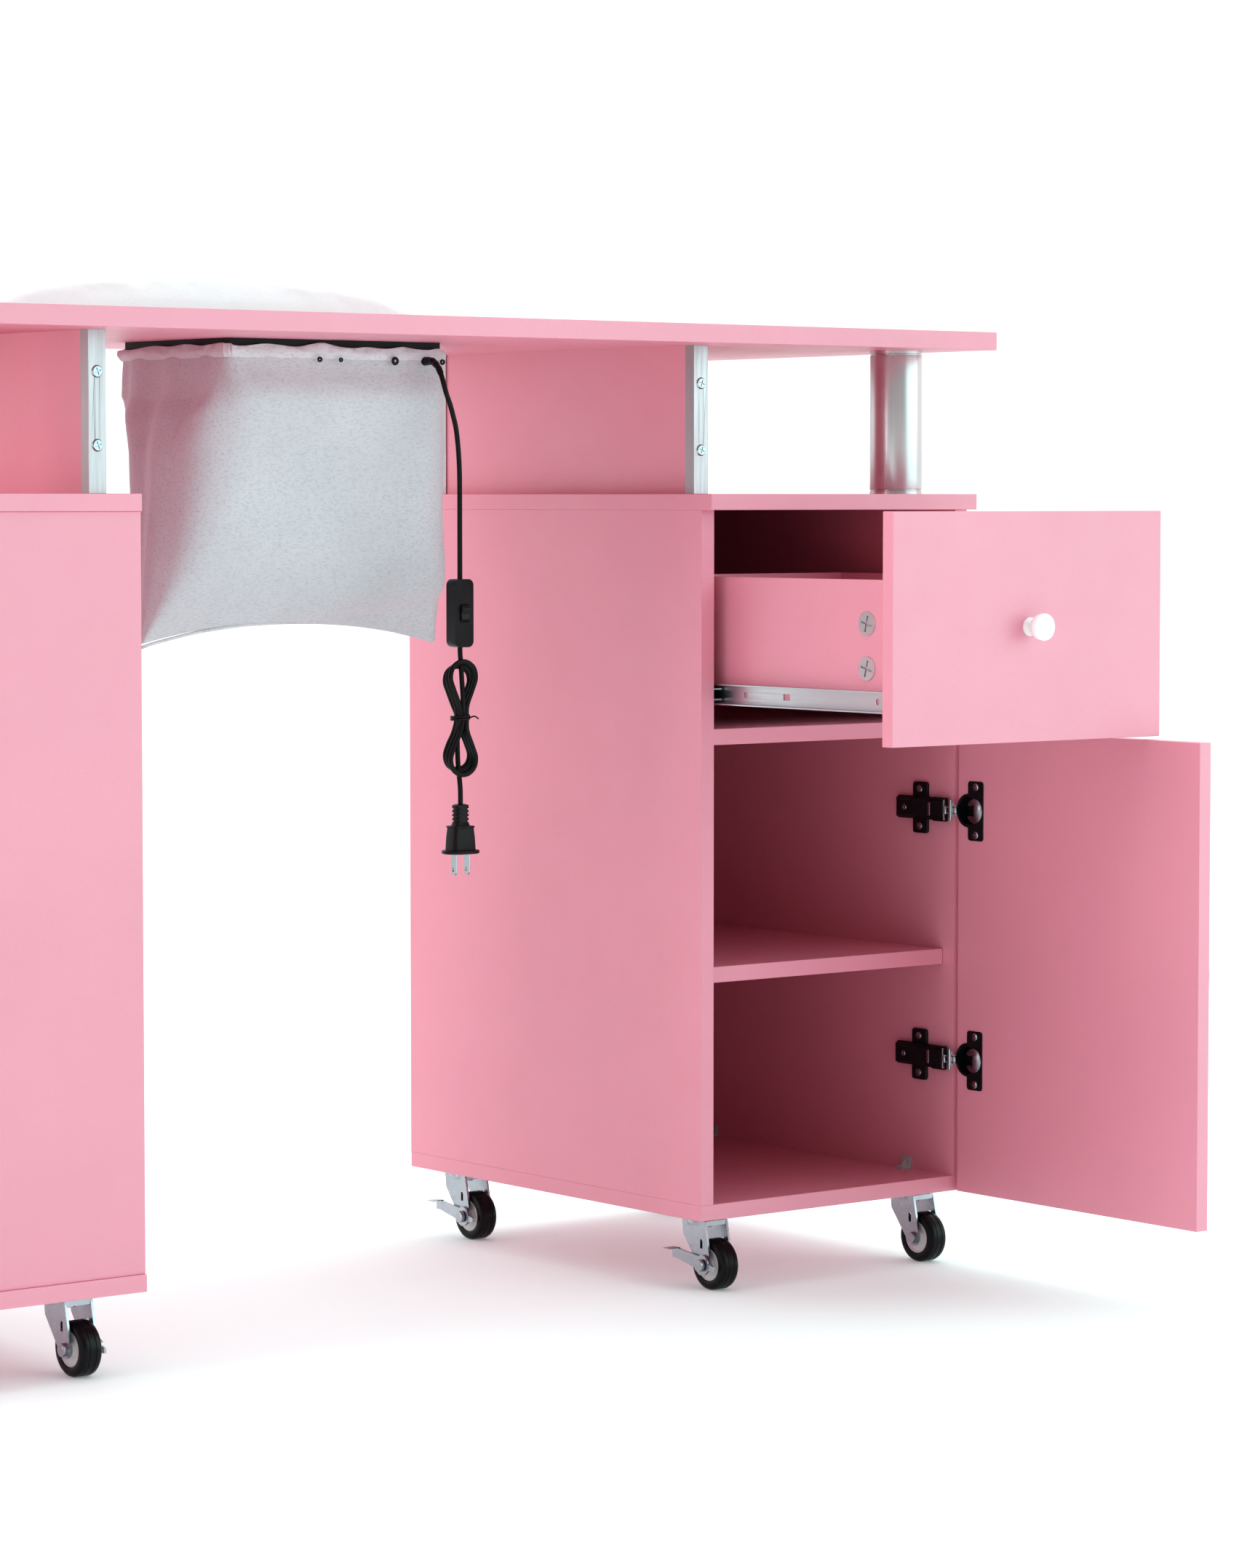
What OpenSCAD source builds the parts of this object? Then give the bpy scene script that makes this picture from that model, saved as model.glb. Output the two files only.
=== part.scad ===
// Manicure table: a laminate desktop carried above two wheeled cabinets.
// The operator sits on the -Y side, the client on the +Y side.
// The origin is on the floor, below the middle of the desktop.

/* [Desktop] */
// Height of the desktop's top face above the floor
total_h = 787; // [740:1:830]
// Length of the desktop
desk_len = 1125; // [1120:1:1200]
// Depth of the desktop
desk_depth = 428; // [428:1:460]
// Thickness of the desktop board
desk_t = 15; // [15:1:25]

/* [Cabinets] */
// Clear width of the knee space between the two cabinets
knee_w = 530; // [500:1:540]
// Width of each cabinet
cabinet_w = 288; // [280:1:290]
// Distance from the desktop's front edge to the cabinets' front plane
front_setback = 26; // [20:1:40]
// Thickness of the cabinet boards
board_t = 13; // [12:1:13]
// Thickness of the cabinet's back panel
back_t = 6; // [3:1:10]
// Thickness of the door and the drawer front
overlay_t = 12; // [12:1:13]
// How far the left cabinet's top and bottom boards stand proud of its front panel
left_lip = 2; // [0:1:4]
// Top of the divider under the drawer, above the floor
divider_top = 462.5; // [440:0.5:463]
// Top of the right cabinet's shelf, above the floor
shelf_top = 268; // [200:1:340]

/* [Risers and posts] */
// Free height between the cabinets' top boards and the desktop
riser_h = 120; // [100:1:150]
// Outside diameter of the chrome posts
post_d = 44; // [30:1:50]
// Wall thickness of the chrome posts
post_wall = 1.5; // [1:0.5:3]
// Width of the aluminium channel on the risers' upright edges
channel_w = 15; // [15:1:16]

/* [Drawer] */
// How far the drawer stands open
drawer_out = 218; // [0:1:245]
// Height of the drawer's sides
drawer_side_h = 103; // [60:1:120]
// Length of the drawer's sides
drawer_len = 348; // [300:1:360]

/* [Door] */
// Angle that the door stands open
door_open = 90; // [0:1:95]
// Height of the two hinges above the floor
hinge_heights = [176, 386.5];

/* [Casters] */
// Overall height of a caster
caster_h = 63; // [60:1:70]
// Diameter of a wheel
wheel_d = 42; // [35:1:44]
// Width of a wheel
wheel_w = 17.5; // [12:0.5:18]
// Horizontal distance from the swivel's axis to the wheel's axle
trail = 14; // [10:1:16]

/* [Dust collector] */
// Length of the vent grille in the desktop
grille_len = 196; // [180:1:220]
// Depth of the vent grille in the desktop
grille_depth = 136; // [120:1:150]
// Sideways place of the vent's middle
vent_x = -12; // [-30:1:30]
// Radius of the fan over its blades
fan_r = 54; // [40:1:56]
// Height of the dust bag's lowest edge above the floor
bag_bottom = 532; // [500:1:560]

/* [Wrist cushion] */
// Length of the cushion
cushion_len = 440; // [400:1:520]
// Depth of the cushion
cushion_depth = 118; // [80:1:130]
// Thickness of the cushion
cushion_h = 43; // [30:1:50]

/* [Mains cord] */
// Diameter of the cord
cord_d = 4; // [4:0.1:5]
// Length of the in-line switch
switch_len = 54; // [50:1:60]
// Width of the in-line switch
switch_w = 18; // [16:1:22]

/* [Hidden] */
$fn = 48;

// Colours
PINK = [0.94, 0.74, 0.80];
WHITE = [0.95, 0.95, 0.95];
STEEL = [0.75, 0.77, 0.80];
CHROME = [0.85, 0.86, 0.88];
BLACK = [0.08, 0.08, 0.09];
CLOTH = [0.72, 0.73, 0.78];

// Gap between parts that slide past each other
gap = 0.5;

// Main planes of the frame
front_y = -desk_depth / 2 + front_setback;
back_y = desk_depth / 2;
knee_x = knee_w / 2;
outer_x = knee_x + cabinet_w;
desk_z = total_h - desk_t;
top_z = desk_z - riser_h;
top_under = top_z - board_t;
floor_z = caster_h + board_t;
inner_face = knee_x + board_t;
outer_face = outer_x - board_t;
side_h = top_under - floor_z;

// Risers, channels and posts
channel_t = 1.5;
channel_flange = 11;
riser_x = knee_x + board_t + channel_w / 2;
riser_front = front_y + 26;
riser_back = back_y - 25;
screw_z = top_z + riser_h / 2 + 2.3;
screw_dz = 27;
screw_r = 4.75;
screw_hole_r = 2;
screw_hole_len = 14;
post_x = outer_x - 40;
post_ys = [front_y + 45, back_y - 45];

// Drawer, in its shut place
drawer_gap = 12.7;
slide_h = 17;
slide_t = 1.2;
slide_z = divider_top + 19.5;
slide_len = 350;
slide_y = front_y + 2;
drawer_x0 = inner_face + drawer_gap;
drawer_x1 = outer_face - drawer_gap;
drawer_side_t = 12;
drawer_front_y = front_y - gap;
drawer_back_y = drawer_front_y + drawer_len;
front_z0 = divider_top - 5;
front_z1 = top_under - gap;
front_mid_x = (knee_x + outer_x) / 2;
front_mid_z = (front_z0 + front_z1) / 2;
cam_y = front_y + 46;
cam_zs = [516, 551];
cage_len = 100;
cage_y = front_y + 127;
ball_r = 0.95;

// Door, in its shut place, and its hinge line
door_gap = 1;
door_in_y = front_y - door_gap;
door_x0 = knee_x + 2.5;
door_x1 = outer_x - gap;
door_z0 = caster_h + gap;
door_z1 = front_z0 - 3;
hinge_x = door_x1 - 5;
hinge_y = door_in_y - 7;
cup_x = hinge_x - 9.5;
cup_r = 12;
cup_depth = 10.5;
pin_r = 1;
running = 0.06;
door_knob_z = 266;

// Fan unit under the desktop
housing_len = 200;
housing_depth = 150;
housing_h = 42;
housing_z = desk_z - housing_h;
housing_wall = 3;
rotor_z = housing_z + 15;
rotor_h = 18;
hub_r = 19;
shaft_r = 3;

// Cord: the route from the gland to the in-line switch, and what hangs below it
gland_x = 70;
gland_z = 757;
gland_tip = -83;
hang_x = 86;
hang_y = -104;
switch_top = 584.5;
switch_t = 12;
rocker_r = 7.6;
rocker_w = 8;
rocker_y = -2.5;
hank_top = 521;
hank_w = 29;
hank_h = 94;
hank_t = 12;
relief_top = 405.5;
plug_top = 388.5;
flange_top = 369;
blade_top = 366;
blade_len = 17;
switch_mid = switch_top - switch_len / 2;
ROUTE = [
  [70, -83, 757], [70, -87, 757], [69.5, -91.5, 756.3], [69, -96, 754], [68.5, -100, 751],
  [68, -103.5, 747], [68, -106, 742], [69, -107.5, 735.5], [71, -108, 729], [74, -108, 722],
  [77, -107.5, 714], [80, -107, 705], [82.5, -106, 694], [84.5, -105, 681], [85.5, -104.5, 667],
  [86, -104, 652], [86, -104, 638], [86, -104, 624], [86, -104, 610], [86, -104, 597], [86, -104, 584.5]
];

// Casters: the swivel's place, and the side of the brake lever (0 for none)
near_in = 40;
far_in = 19;
front_in = 44;
back_in = 27;
CASTERS = [
  [knee_x + near_in, front_y + front_in, -1], [outer_x - far_in, front_y + front_in, 0],
  [knee_x + near_in, back_y - back_in, -1], [outer_x - far_in, back_y - back_in, 0],
  [-knee_x - near_in, front_y + front_in, 1], [-outer_x + far_in, front_y + front_in, 0],
  [-knee_x - near_in, back_y - back_in, 1], [-outer_x + far_in, back_y - back_in, 0]
];
plate_w = 38;
plate_t = 2;
race_r = 15;
race_z = caster_h - 6;
king_r = 4;
crown_t = 4;
crown_z = race_z - 0.3 - crown_t;
leg_in = wheel_w / 2 + 1.5;
leg_t = 2;
axle_r = 3;
axle_z = wheel_d / 2;
lever_gap = 0.6;
lever_t = 2;

// ---------- helpers ----------

// A box from one corner to the opposite one
module span(a, b) {
  translate(a) cube([b[0] - a[0], b[1] - a[1], b[2] - a[2]]);
}

// A cylinder along X whose low end is at the given point
module rod_x(at, r, len) {
  translate(at) rotate([0, 90, 0]) cylinder(r = r, h = len);
}

// A cylinder along Y whose low end is at the given point
module rod_y(at, r, len) {
  translate(at) rotate([-90, 0, 0]) cylinder(r = r, h = len);
}

// The same shape on both sides of the knee space
module both_sides() {
  children();
  mirror([1, 0, 0]) children();
}

// Places the door's parts at the angle that the door stands open
module swung() {
  translate([hinge_x, hinge_y, 0]) rotate([0, 0, door_open]) translate([-hinge_x, -hinge_y, 0]) children();
}

// Places the drawer's parts where the drawer stands
module pulled(part = 1) {
  translate([0, -drawer_out * part, 0]) children();
}

// A shape modelled on the drawer's left side, repeated on its right side
module drawer_pair() {
  children();
  translate([2 * front_mid_x, 0, 0]) mirror([1, 0, 0]) children();
}

// ---------- desktop and dust collector ----------

module desktop() {
  rim = 8;
  color(PINK) difference() {
    span([-desk_len / 2, -desk_depth / 2, desk_z], [desk_len / 2, desk_depth / 2, total_h]);
    translate([vent_x, 0, 0]) {
      span([-grille_len / 2, -grille_depth / 2, total_h - 3], [grille_len / 2, grille_depth / 2, total_h + 1]);
      span([-grille_len / 2 + rim, -grille_depth / 2 + rim, desk_z - 1],
        [grille_len / 2 - rim, grille_depth / 2 - rim, total_h]);
    }
  }
}

module vent_grille() {
  columns = 16;
  rows = 2;
  pitch_x = (grille_len - 20) / columns;
  pitch_y = (grille_depth - 16) / rows;
  color(STEEL) translate([vent_x, 0, total_h - 3]) difference() {
    span([-grille_len / 2 + 0.3, -grille_depth / 2 + 0.3, 0], [grille_len / 2 - 0.3, grille_depth / 2 - 0.3, 3]);
    for (i = [0 : columns - 1], j = [0 : rows - 1])
      translate([(i + 0.5 - columns / 2) * pitch_x, (j + 0.5 - rows / 2) * pitch_y, -1])
        span([-2.6, -pitch_y / 2 + 4, 0], [2.6, pitch_y / 2 - 4, 5]);
  }
}

// Moulded box with a spider and hub that carry the motor, screwed under the desktop
module fan_housing() {
  spoke_w = 6;
  hub_h = 12;
  color(BLACK) translate([vent_x, 0, housing_z]) difference() {
    union() {
      difference() {
        span([-housing_len / 2, -housing_depth / 2, 0], [housing_len / 2, housing_depth / 2, housing_h]);
        span([-housing_len / 2 + housing_wall, -housing_depth / 2 + housing_wall, housing_wall],
          [housing_len / 2 - housing_wall, housing_depth / 2 - housing_wall, housing_h + 1]);
        translate([0, 0, -1]) cylinder(r = fan_r + 3, h = housing_wall + 2);
      }
      cylinder(r = hub_r, h = hub_h);
      for (a = [0, 90, 180, 270]) rotate([0, 0, a])
        span([hub_r - 2, -spoke_w / 2, 0], [fan_r + 5, spoke_w / 2, housing_wall]);
    }
    translate([0, 0, 3]) cylinder(r = shaft_r + running, h = hub_h);
    rod_y([gland_x - vent_x, -housing_depth / 2 - 1, gland_z - housing_z], 3, housing_wall + 2);
  }
}

module fan_rotor() {
  blades = 7;
  color(BLACK) translate([vent_x, 0, rotor_z]) {
    cylinder(r = hub_r, h = rotor_h);
    translate([0, 0, -11]) cylinder(r = shaft_r, h = 12);
    for (k = [0 : blades - 1]) rotate([0, 0, k * 360 / blades])
      translate([hub_r - 2, 0, rotor_h / 2]) rotate([35, 0, 0])
        span([0, -11, -0.8], [fan_r - hub_r - 1, 11, 0.8]);
  }
}

// Level outline of the bag: a rounded rectangle
module bag_slice(x, w, d, z, r) {
  translate([x, 0, z]) linear_extrude(1) hull() for (i = [-1, 1], j = [-1, 1])
    translate([i * (w / 2 - r), j * (d / 2 - r)]) circle(r = r, $fn = 24);
}

// Cloth bag: its mouth grips the fan's housing and its sides close to a seam at the bottom
module dust_bag() {
  mid_x = -6;
  mouth_w = housing_len + 10;
  mouth_d = housing_depth + 10;
  color(CLOTH) difference() {
    union() {
      hull() {
        bag_slice(vent_x, mouth_w, mouth_d, desk_z - 8, 6);
        bag_slice(mid_x, 246, mouth_d, housing_z - 5, 20);
      }
      hull() {
        bag_slice(mid_x, 246, mouth_d, housing_z - 5, 20);
        bag_slice(mid_x, 264, 120, desk_z - 75, 40);
      }
      hull() {
        bag_slice(mid_x, 264, 120, desk_z - 75, 40);
        bag_slice(mid_x, 268, 100, desk_z - 160, 40);
      }
      hull() {
        bag_slice(mid_x, 268, 100, desk_z - 160, 40);
        bag_slice(mid_x, 282, 16, bag_bottom, 7);
      }
    }
    translate([vent_x, 0, 0]) span([-housing_len / 2 - gap, -housing_depth / 2 - gap, housing_z - gap],
      [housing_len / 2 + gap, housing_depth / 2 + gap, total_h]);
    rod_y([gland_x, -housing_depth, gland_z], 5.5, housing_depth);
  }
}

// ---------- risers, channels and posts ----------

module riser_panels() {
  color(PINK) both_sides() difference() {
    span([riser_x - channel_w / 2 + channel_t, riser_front + channel_t, top_z],
      [riser_x + channel_w / 2 - channel_t, riser_back - channel_t, desk_z]);
    for (s = [-1, 1]) {
      rod_y([riser_x, riser_front, screw_z + s * screw_dz], screw_hole_r, screw_hole_len);
      rod_y([riser_x, riser_back - screw_hole_len, screw_z + s * screw_dz], screw_hole_r, screw_hole_len);
    }
  }
}

// U-shaped channel with its web at y = 0 and its flanges towards +y
module channel() {
  difference() {
    span([-channel_w / 2, 0, top_z], [channel_w / 2, channel_flange, desk_z]);
    span([-channel_w / 2 + channel_t, channel_t, top_z - 1], [channel_w / 2 - channel_t, channel_flange + 1, desk_z + 1]);
    for (s = [-1, 1]) rod_y([0, -1, screw_z + s * screw_dz], screw_hole_r, channel_t + 2);
  }
}

module riser_channels() {
  color(STEEL) both_sides() {
    translate([riser_x, riser_front, 0]) channel();
    translate([riser_x, riser_back, 0]) mirror([0, 1, 0]) channel();
  }
}

// Pan-head screw with a cross recess, its head seated on the face at y = 0
module cross_screw(head_r) {
  head_h = 1.2;
  shank_r = 1.9;
  shank_len = screw_hole_len - 1;
  recess_half = head_r * 0.6;
  recess_t = 0.4;
  difference() {
    union() {
      rotate([90, 0, 0]) cylinder(r1 = head_r, r2 = head_r * 0.8, h = head_h);
      rod_y([0, -head_h / 2, 0], shank_r, shank_len);
    }
    for (a = [0, 90]) rotate([0, a + 20, 0]) span([-recess_half, -2 * head_h, -recess_t], [recess_half, -head_h * 0.3, recess_t]);
  }
}

module channel_screws() {
  color(STEEL) both_sides() for (s = [-1, 1]) {
    translate([riser_x, riser_front, screw_z + s * screw_dz]) cross_screw(screw_r);
    translate([riser_x, riser_back, screw_z + s * screw_dz]) mirror([0, 1, 0]) cross_screw(screw_r);
  }
}

module support_posts() {
  color(CHROME) both_sides() for (y = post_ys) translate([post_x, y, top_z]) difference() {
    cylinder(d = post_d, h = riser_h, $fn = 64);
    translate([0, 0, 4]) cylinder(d = post_d - 2 * post_wall, h = riser_h - 8, $fn = 64);
  }
}

// ---------- cabinets ----------

module cabinet_tops() {
  color(PINK) span([knee_x, front_y - overlay_t - gap, top_under], [outer_x, back_y, top_z]);
  color(PINK) span([-outer_x, front_y - left_lip, top_under], [-knee_x, back_y, top_z]);
}

module cabinet_bottoms() {
  color(PINK) span([knee_x, front_y, caster_h], [outer_x, back_y, floor_z]);
  color(PINK) span([-outer_x, front_y - left_lip, caster_h], [-knee_x, back_y, floor_z]);
}

// Holes for the shelf pins, bored into the boards beside a shelf
module pin_holes(x, z, depth) {
  for (y = [front_y + 50, back_y - 60]) rod_x([x, y, z - 2.5], 2.55, depth);
}

module right_side_panels() {
  color(PINK) difference() {
    span([knee_x, front_y, floor_z], [inner_face, back_y, top_under]);
    pin_holes(inner_face - 8, shelf_top - board_t, 9);
  }
  color(PINK) difference() {
    span([outer_face, front_y, floor_z], [outer_x, back_y, top_under]);
    pin_holes(outer_face - 1, shelf_top - board_t, 9);
  }
}

module right_back_panel() {
  color(PINK) span([inner_face, back_y - back_t, floor_z], [outer_face, back_y, top_under]);
}

module right_divider() {
  color(PINK) span([inner_face, front_y, divider_top - board_t], [outer_face, back_y - back_t, divider_top]);
}

module right_shelf() {
  color(PINK) span([inner_face + gap, front_y + 13, shelf_top - board_t], [outer_face - gap, back_y - back_t - 4, shelf_top]);
}

module shelf_pins() {
  color(STEEL) for (y = [front_y + 50, back_y - 60]) {
    rod_x([inner_face - 7.5, y, shelf_top - board_t - 2.5], 2.5, 16);
    rod_x([outer_face - 8.5, y, shelf_top - board_t - 2.5], 2.5, 16);
  }
}

// Front, back and knee-side panels; the cabinet is open towards the table's end
module left_upright_panels() {
  color(PINK) {
    span([-outer_x, front_y, floor_z], [-knee_x, front_y + board_t, top_under]);
    span([-outer_x, back_y - board_t, floor_z], [-knee_x, back_y, top_under]);
    span([-inner_face, front_y + board_t, floor_z], [-knee_x, back_y - board_t, top_under]);
  }
}

module left_shelves() {
  step = side_h / 3;
  color(PINK) for (k = [1, 2]) translate([0, 0, floor_z + k * step - board_t / 2])
    span([-outer_x + 3, front_y + board_t, 0], [-inner_face, back_y - board_t, board_t]);
}

// Angled plastic brackets that tie the right cabinet's walls to its bottom board
module corner_brackets() {
  leg = 10;
  wide = 10;
  color([0.85, 0.87, 0.88]) for (y = [front_y + 52, back_y - 90]) {
    translate([outer_face, y, floor_z]) bracket(leg, wide);
    translate([inner_face, y, floor_z]) mirror([1, 0, 0]) bracket(leg, wide);
  }
}

// L-shaped bracket with a web, in the corner on the -x side of the wall
module bracket(leg, wide) {
  span([-leg, 0, 0], [0, wide, 2.5]);
  span([-2.5, 0, 0], [0, wide, leg]);
  translate([0, wide / 2 + 1, 0]) rotate([90, 0, 0]) linear_extrude(2) polygon([[0, 0], [-leg, 0], [0, leg]]);
}

// ---------- drawer and its slides ----------

// Runner fixed to the cabinet's wall, modelled on the knee side
module slide_runners() {
  inset = 3.7;
  color(STEEL) drawer_pair() {
    span([inner_face, slide_y, slide_z + inset], [inner_face + slide_t, slide_y + slide_len, slide_z + slide_h - inset]);
    for (z = [slide_z + inset, slide_z + slide_h - inset - slide_t])
      span([inner_face, slide_y, z], [inner_face + 10, slide_y + slide_len, z + slide_t]);
  }
}

// Ball cages that roll between the runners and the channels at half the drawer's travel
module slide_ball_cages() {
  balls = 6;
  x = drawer_x0 - slide_t - 0.9;
  z_low = slide_z + slide_t + 1.25;
  z_high = slide_z + slide_h - slide_t - 1.25;
  color(STEEL) pulled(0.5) drawer_pair() {
    span([x, cage_y, z_low - 0.3], [x + 0.5, cage_y + cage_len, z_high + 0.3]);
    for (z = [z_low, z_high]) {
      span([x - 6.5, cage_y, z - 0.3], [x, cage_y + cage_len, z + 0.3]);
      for (k = [0 : balls - 1])
        translate([x - 4, cage_y + 8 + k * (cage_len - 16) / (balls - 1), z]) sphere(r = ball_r, $fn = 24);
    }
  }
}

// Channel fixed to the drawer's side, open towards the runner
module drawer_channels() {
  x = drawer_x0;
  color(STEEL) pulled() drawer_pair() difference() {
    union() {
      span([x - slide_t, slide_y, slide_z], [x, slide_y + slide_len, slide_z + slide_h]);
      for (z = [slide_z, slide_z + slide_h - slide_t])
        span([x - 9.5, slide_y, z], [x, slide_y + slide_len, z + slide_t]);
    }
    for (y = [30, 190]) rod_x([x - 5, slide_y + y, slide_z + slide_h / 2], 2.2, 10);
    span([x - 5, slide_y + 135, slide_z + 6], [x + 1, slide_y + 143, slide_z + 11]);
  }
}

module drawer_front() {
  color(PINK) pulled() span([knee_x + gap, drawer_front_y - overlay_t, front_z0], [outer_x - gap, drawer_front_y, front_z1]);
}

module drawer_box() {
  z1 = slide_z + drawer_side_h;
  color(PINK) pulled() {
    drawer_pair() difference() {
      span([drawer_x0, drawer_front_y, slide_z], [drawer_x0 + drawer_side_t, drawer_back_y, z1]);
      for (z = cam_zs) rod_x([drawer_x0 - 1, cam_y, z], 9.5, 9);
    }
    span([drawer_x0 + drawer_side_t, drawer_back_y - drawer_side_t, slide_z],
      [drawer_x1 - drawer_side_t, drawer_back_y, z1]);
  }
}

module drawer_bottom() {
  color(WHITE) pulled() span([drawer_x0 + drawer_side_t, drawer_front_y, slide_z + 4],
    [drawer_x1 - drawer_side_t, drawer_back_y - drawer_side_t, slide_z + 8]);
}

// Cam locks with a cross slot, which pull the sides against the drawer front
module drawer_cams() {
  color(CHROME) pulled() drawer_pair() for (z = cam_zs) translate([drawer_x0 + 8, cam_y, z]) difference() {
    rod_x([-8.8, 0, 0], 9.5, 8.8);
    for (a = [0, 90]) rotate([a + 15, 0, 0]) span([-10, -6.5, -0.9], [-7, 6.5, 0.9]);
  }
}

// Stepped round knob on a short neck, pointing to -y from the face it is screwed to
module knob() {
  rotate([90, 0, 0]) rotate_extrude($fn = 64)
    polygon(concat([[0, 0], [7.5, 0], [7.5, 2], [5.2, 3.5], [5.2, 9], [9.2, 11], [10.8, 13], [10.8, 17], [9.6, 18.6]],
      [for (a = [0 : 15 : 90]) [8.4 * cos(a), 18.6 + 3.4 * sin(a)]]));
}

module drawer_knob() {
  color(WHITE) pulled() translate([front_mid_x, drawer_front_y - overlay_t, front_mid_z]) knob();
}

// ---------- door and its hinges ----------

module door_panel() {
  round = 3;
  color(PINK) swung() difference() {
    union() {
      span([door_x0, door_in_y - overlay_t, door_z0], [door_x1 - round, door_in_y, door_z1]);
      span([door_x1 - round - 1, door_in_y - overlay_t, door_z0], [door_x1, door_in_y - round, door_z1]);
      translate([door_x1 - round, door_in_y - round, door_z0]) cylinder(r = round, h = door_z1 - door_z0);
    }
    for (z = hinge_heights) rod_y([cup_x, door_in_y - cup_depth - 0.1, z], cup_r + 0.65, cup_depth + 1);
  }
}

module door_knob() {
  color(WHITE) swung() translate([door_x0 + 22, door_in_y - overlay_t, door_knob_z]) knob();
}

// Hinge cup let into the door, with its wing plate, two screws and the hinge pin across it
module hinge_cups() {
  floor_t = 0.5;
  wing_h = 24.5;
  wing_x = cup_x - 9;
  wing_screw = 20.5;
  color(BLACK) swung() for (z = hinge_heights) translate([0, 0, z]) {
    difference() {
      union() {
        rod_y([cup_x, door_in_y - cup_depth, 0], cup_r + 0.6, cup_depth);
        span([wing_x - 10, door_in_y, -wing_h], [wing_x + 10, door_in_y + 0.8, wing_h]);
        for (s = [-1, 1]) rod_y([wing_x, door_in_y, s * wing_screw], 3.4, 1.6);
      }
      rod_y([cup_x, door_in_y - cup_depth + floor_t, 0], cup_r, cup_depth + 3);
      for (s = [-1, 1], a = [0, 90]) translate([wing_x, door_in_y, s * wing_screw])
        rotate([0, a, 0]) span([-2, 1, -0.4], [2, 3, 0.4]);
    }
    translate([hinge_x, hinge_y, -7.7]) cylinder(r = pin_r, h = 15.4);
  }
}

// Mounting plate on the wall, the arm on it and the neck that reaches the pin inside the cup
module hinge_arms() {
  neck_t = 2;
  neck_h = 2.5;
  barrel_r = 1.9;
  neck_x = hinge_x - 9.5;
  arm_x0 = outer_face - 9.5;
  arm_end = front_y + 65;
  plate_y = front_y + 40;
  plate_h = 21.8;
  color(BLACK) for (z = hinge_heights) translate([0, 0, z]) difference() {
    union() {
      span([outer_face - 3, plate_y - 9, -plate_h], [outer_face, plate_y + 9, plate_h]);
      for (s = [-1, 1]) rod_x([outer_face - 4.6, plate_y, s * 16], 3.6, 2);
      span([arm_x0, front_y + 18, -8], [outer_face - 2, arm_end, 8]);
      span([arm_x0, front_y + 12, -6], [neck_x + neck_t / 2, front_y + 22, 6]);
      rod_x([arm_x0 - 1.4, plate_y + 6, 0], 4, 2);
      rod_x([arm_x0 - 1.4, arm_end - 6, 0], 4, 2);
      span([neck_x - neck_t / 2, hinge_y - neck_t / 2, -neck_h], [neck_x + neck_t / 2, front_y + 22, neck_h]);
      span([neck_x - neck_t / 2, hinge_y - neck_t / 2, -neck_h], [hinge_x - 1, hinge_y + neck_t / 2, neck_h]);
      translate([hinge_x, hinge_y, -neck_h]) cylinder(r = barrel_r, h = 2 * neck_h);
    }
    translate([hinge_x, hinge_y, -5]) cylinder(r = pin_r + running, h = 10);
  }
}

// ---------- mains cord ----------

// Unit vector along v
function unit(v) = v / norm(v);
// Direction of the route at point i
function heading(p, i) = unit(p[min(i + 1, len(p) - 1)] - p[max(i - 1, 0)]);
// Sideways direction of the ring at point i, square to the heading
function side(p, i) = unit(cross(heading(p, i), [1, 0.2, 0.1]));

// A tube of radius r with the given number of sides, swept along the points
module tube(p, r, sides) {
  n = len(p);
  rings = [for (i = [0 : n - 1], k = [0 : sides - 1])
    let (u = side(p, i), w = cross(heading(p, i), u), a = 360 * k / sides)
    p[i] + r * (cos(a) * u + sin(a) * w)];
  walls = [for (i = [0 : n - 2], k = [0 : sides - 1])
    let (m = (k + 1) % sides)
    [i * sides + k, i * sides + m, (i + 1) * sides + m, (i + 1) * sides + k]];
  start = [[for (k = [0 : sides - 1]) sides - 1 - k]];
  finish = [[for (k = [0 : sides - 1]) (n - 1) * sides + k]];
  polyhedron(points = rings, faces = [for (f = concat(walls, start, finish)) [for (k = [len(f) - 1 : -1 : 0]) f[k]]]);
}

// Bush that holds the cord where it leaves the fan's housing
module cord_gland() {
  face_y = -housing_depth / 2;
  color(BLACK) difference() {
    union() {
      rod_y([gland_x, face_y - 2, gland_z], 5, 2);
      rod_y([gland_x, gland_tip, gland_z], 3.8, face_y - gland_tip);
      rod_y([gland_x, face_y - 1, gland_z], 2.9, housing_wall + 1);
    }
    rod_y([gland_x, face_y, gland_z], 1.6, housing_wall + 1);
  }
}

module cord_drop() {
  color(BLACK) tube(ROUTE, cord_d / 2, 10);
}

module switch_body() {
  end_r = 5;
  color(BLACK) translate([hang_x, hang_y, switch_top - switch_len]) difference() {
    rotate([90, 0, 0]) translate([0, 0, -switch_t / 2]) linear_extrude(switch_t) {
      translate([-switch_w / 2, end_r]) square([switch_w, switch_len - 2 * end_r]);
      translate([-switch_w / 2 + end_r, 0]) square([switch_w - 2 * end_r, switch_len]);
      for (i = [-1, 1], z = [end_r, switch_len - end_r]) translate([i * (switch_w / 2 - end_r), z]) circle(r = end_r);
    }
    rod_x([-rocker_w / 2 - gap / 2, rocker_y, switch_len / 2], rocker_r + 0.3, rocker_w + gap);
  }
}

module switch_rocker() {
  tilt = 7;
  color([0.16, 0.16, 0.17]) translate([hang_x, hang_y + rocker_y, switch_mid]) intersection() {
    rod_x([-rocker_w / 2, 0, 0], rocker_r, rocker_w);
    rotate([tilt, 0, 0]) translate([-rocker_r, 0, 0]) rotate([90, 0, 90]) linear_extrude(2 * rocker_r)
      polygon([[-5, 0], [-7, -5.5], [-7, -8], [8, -8], [8, 8], [-7, 8], [-7, 5.5]]);
  }
}

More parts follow.
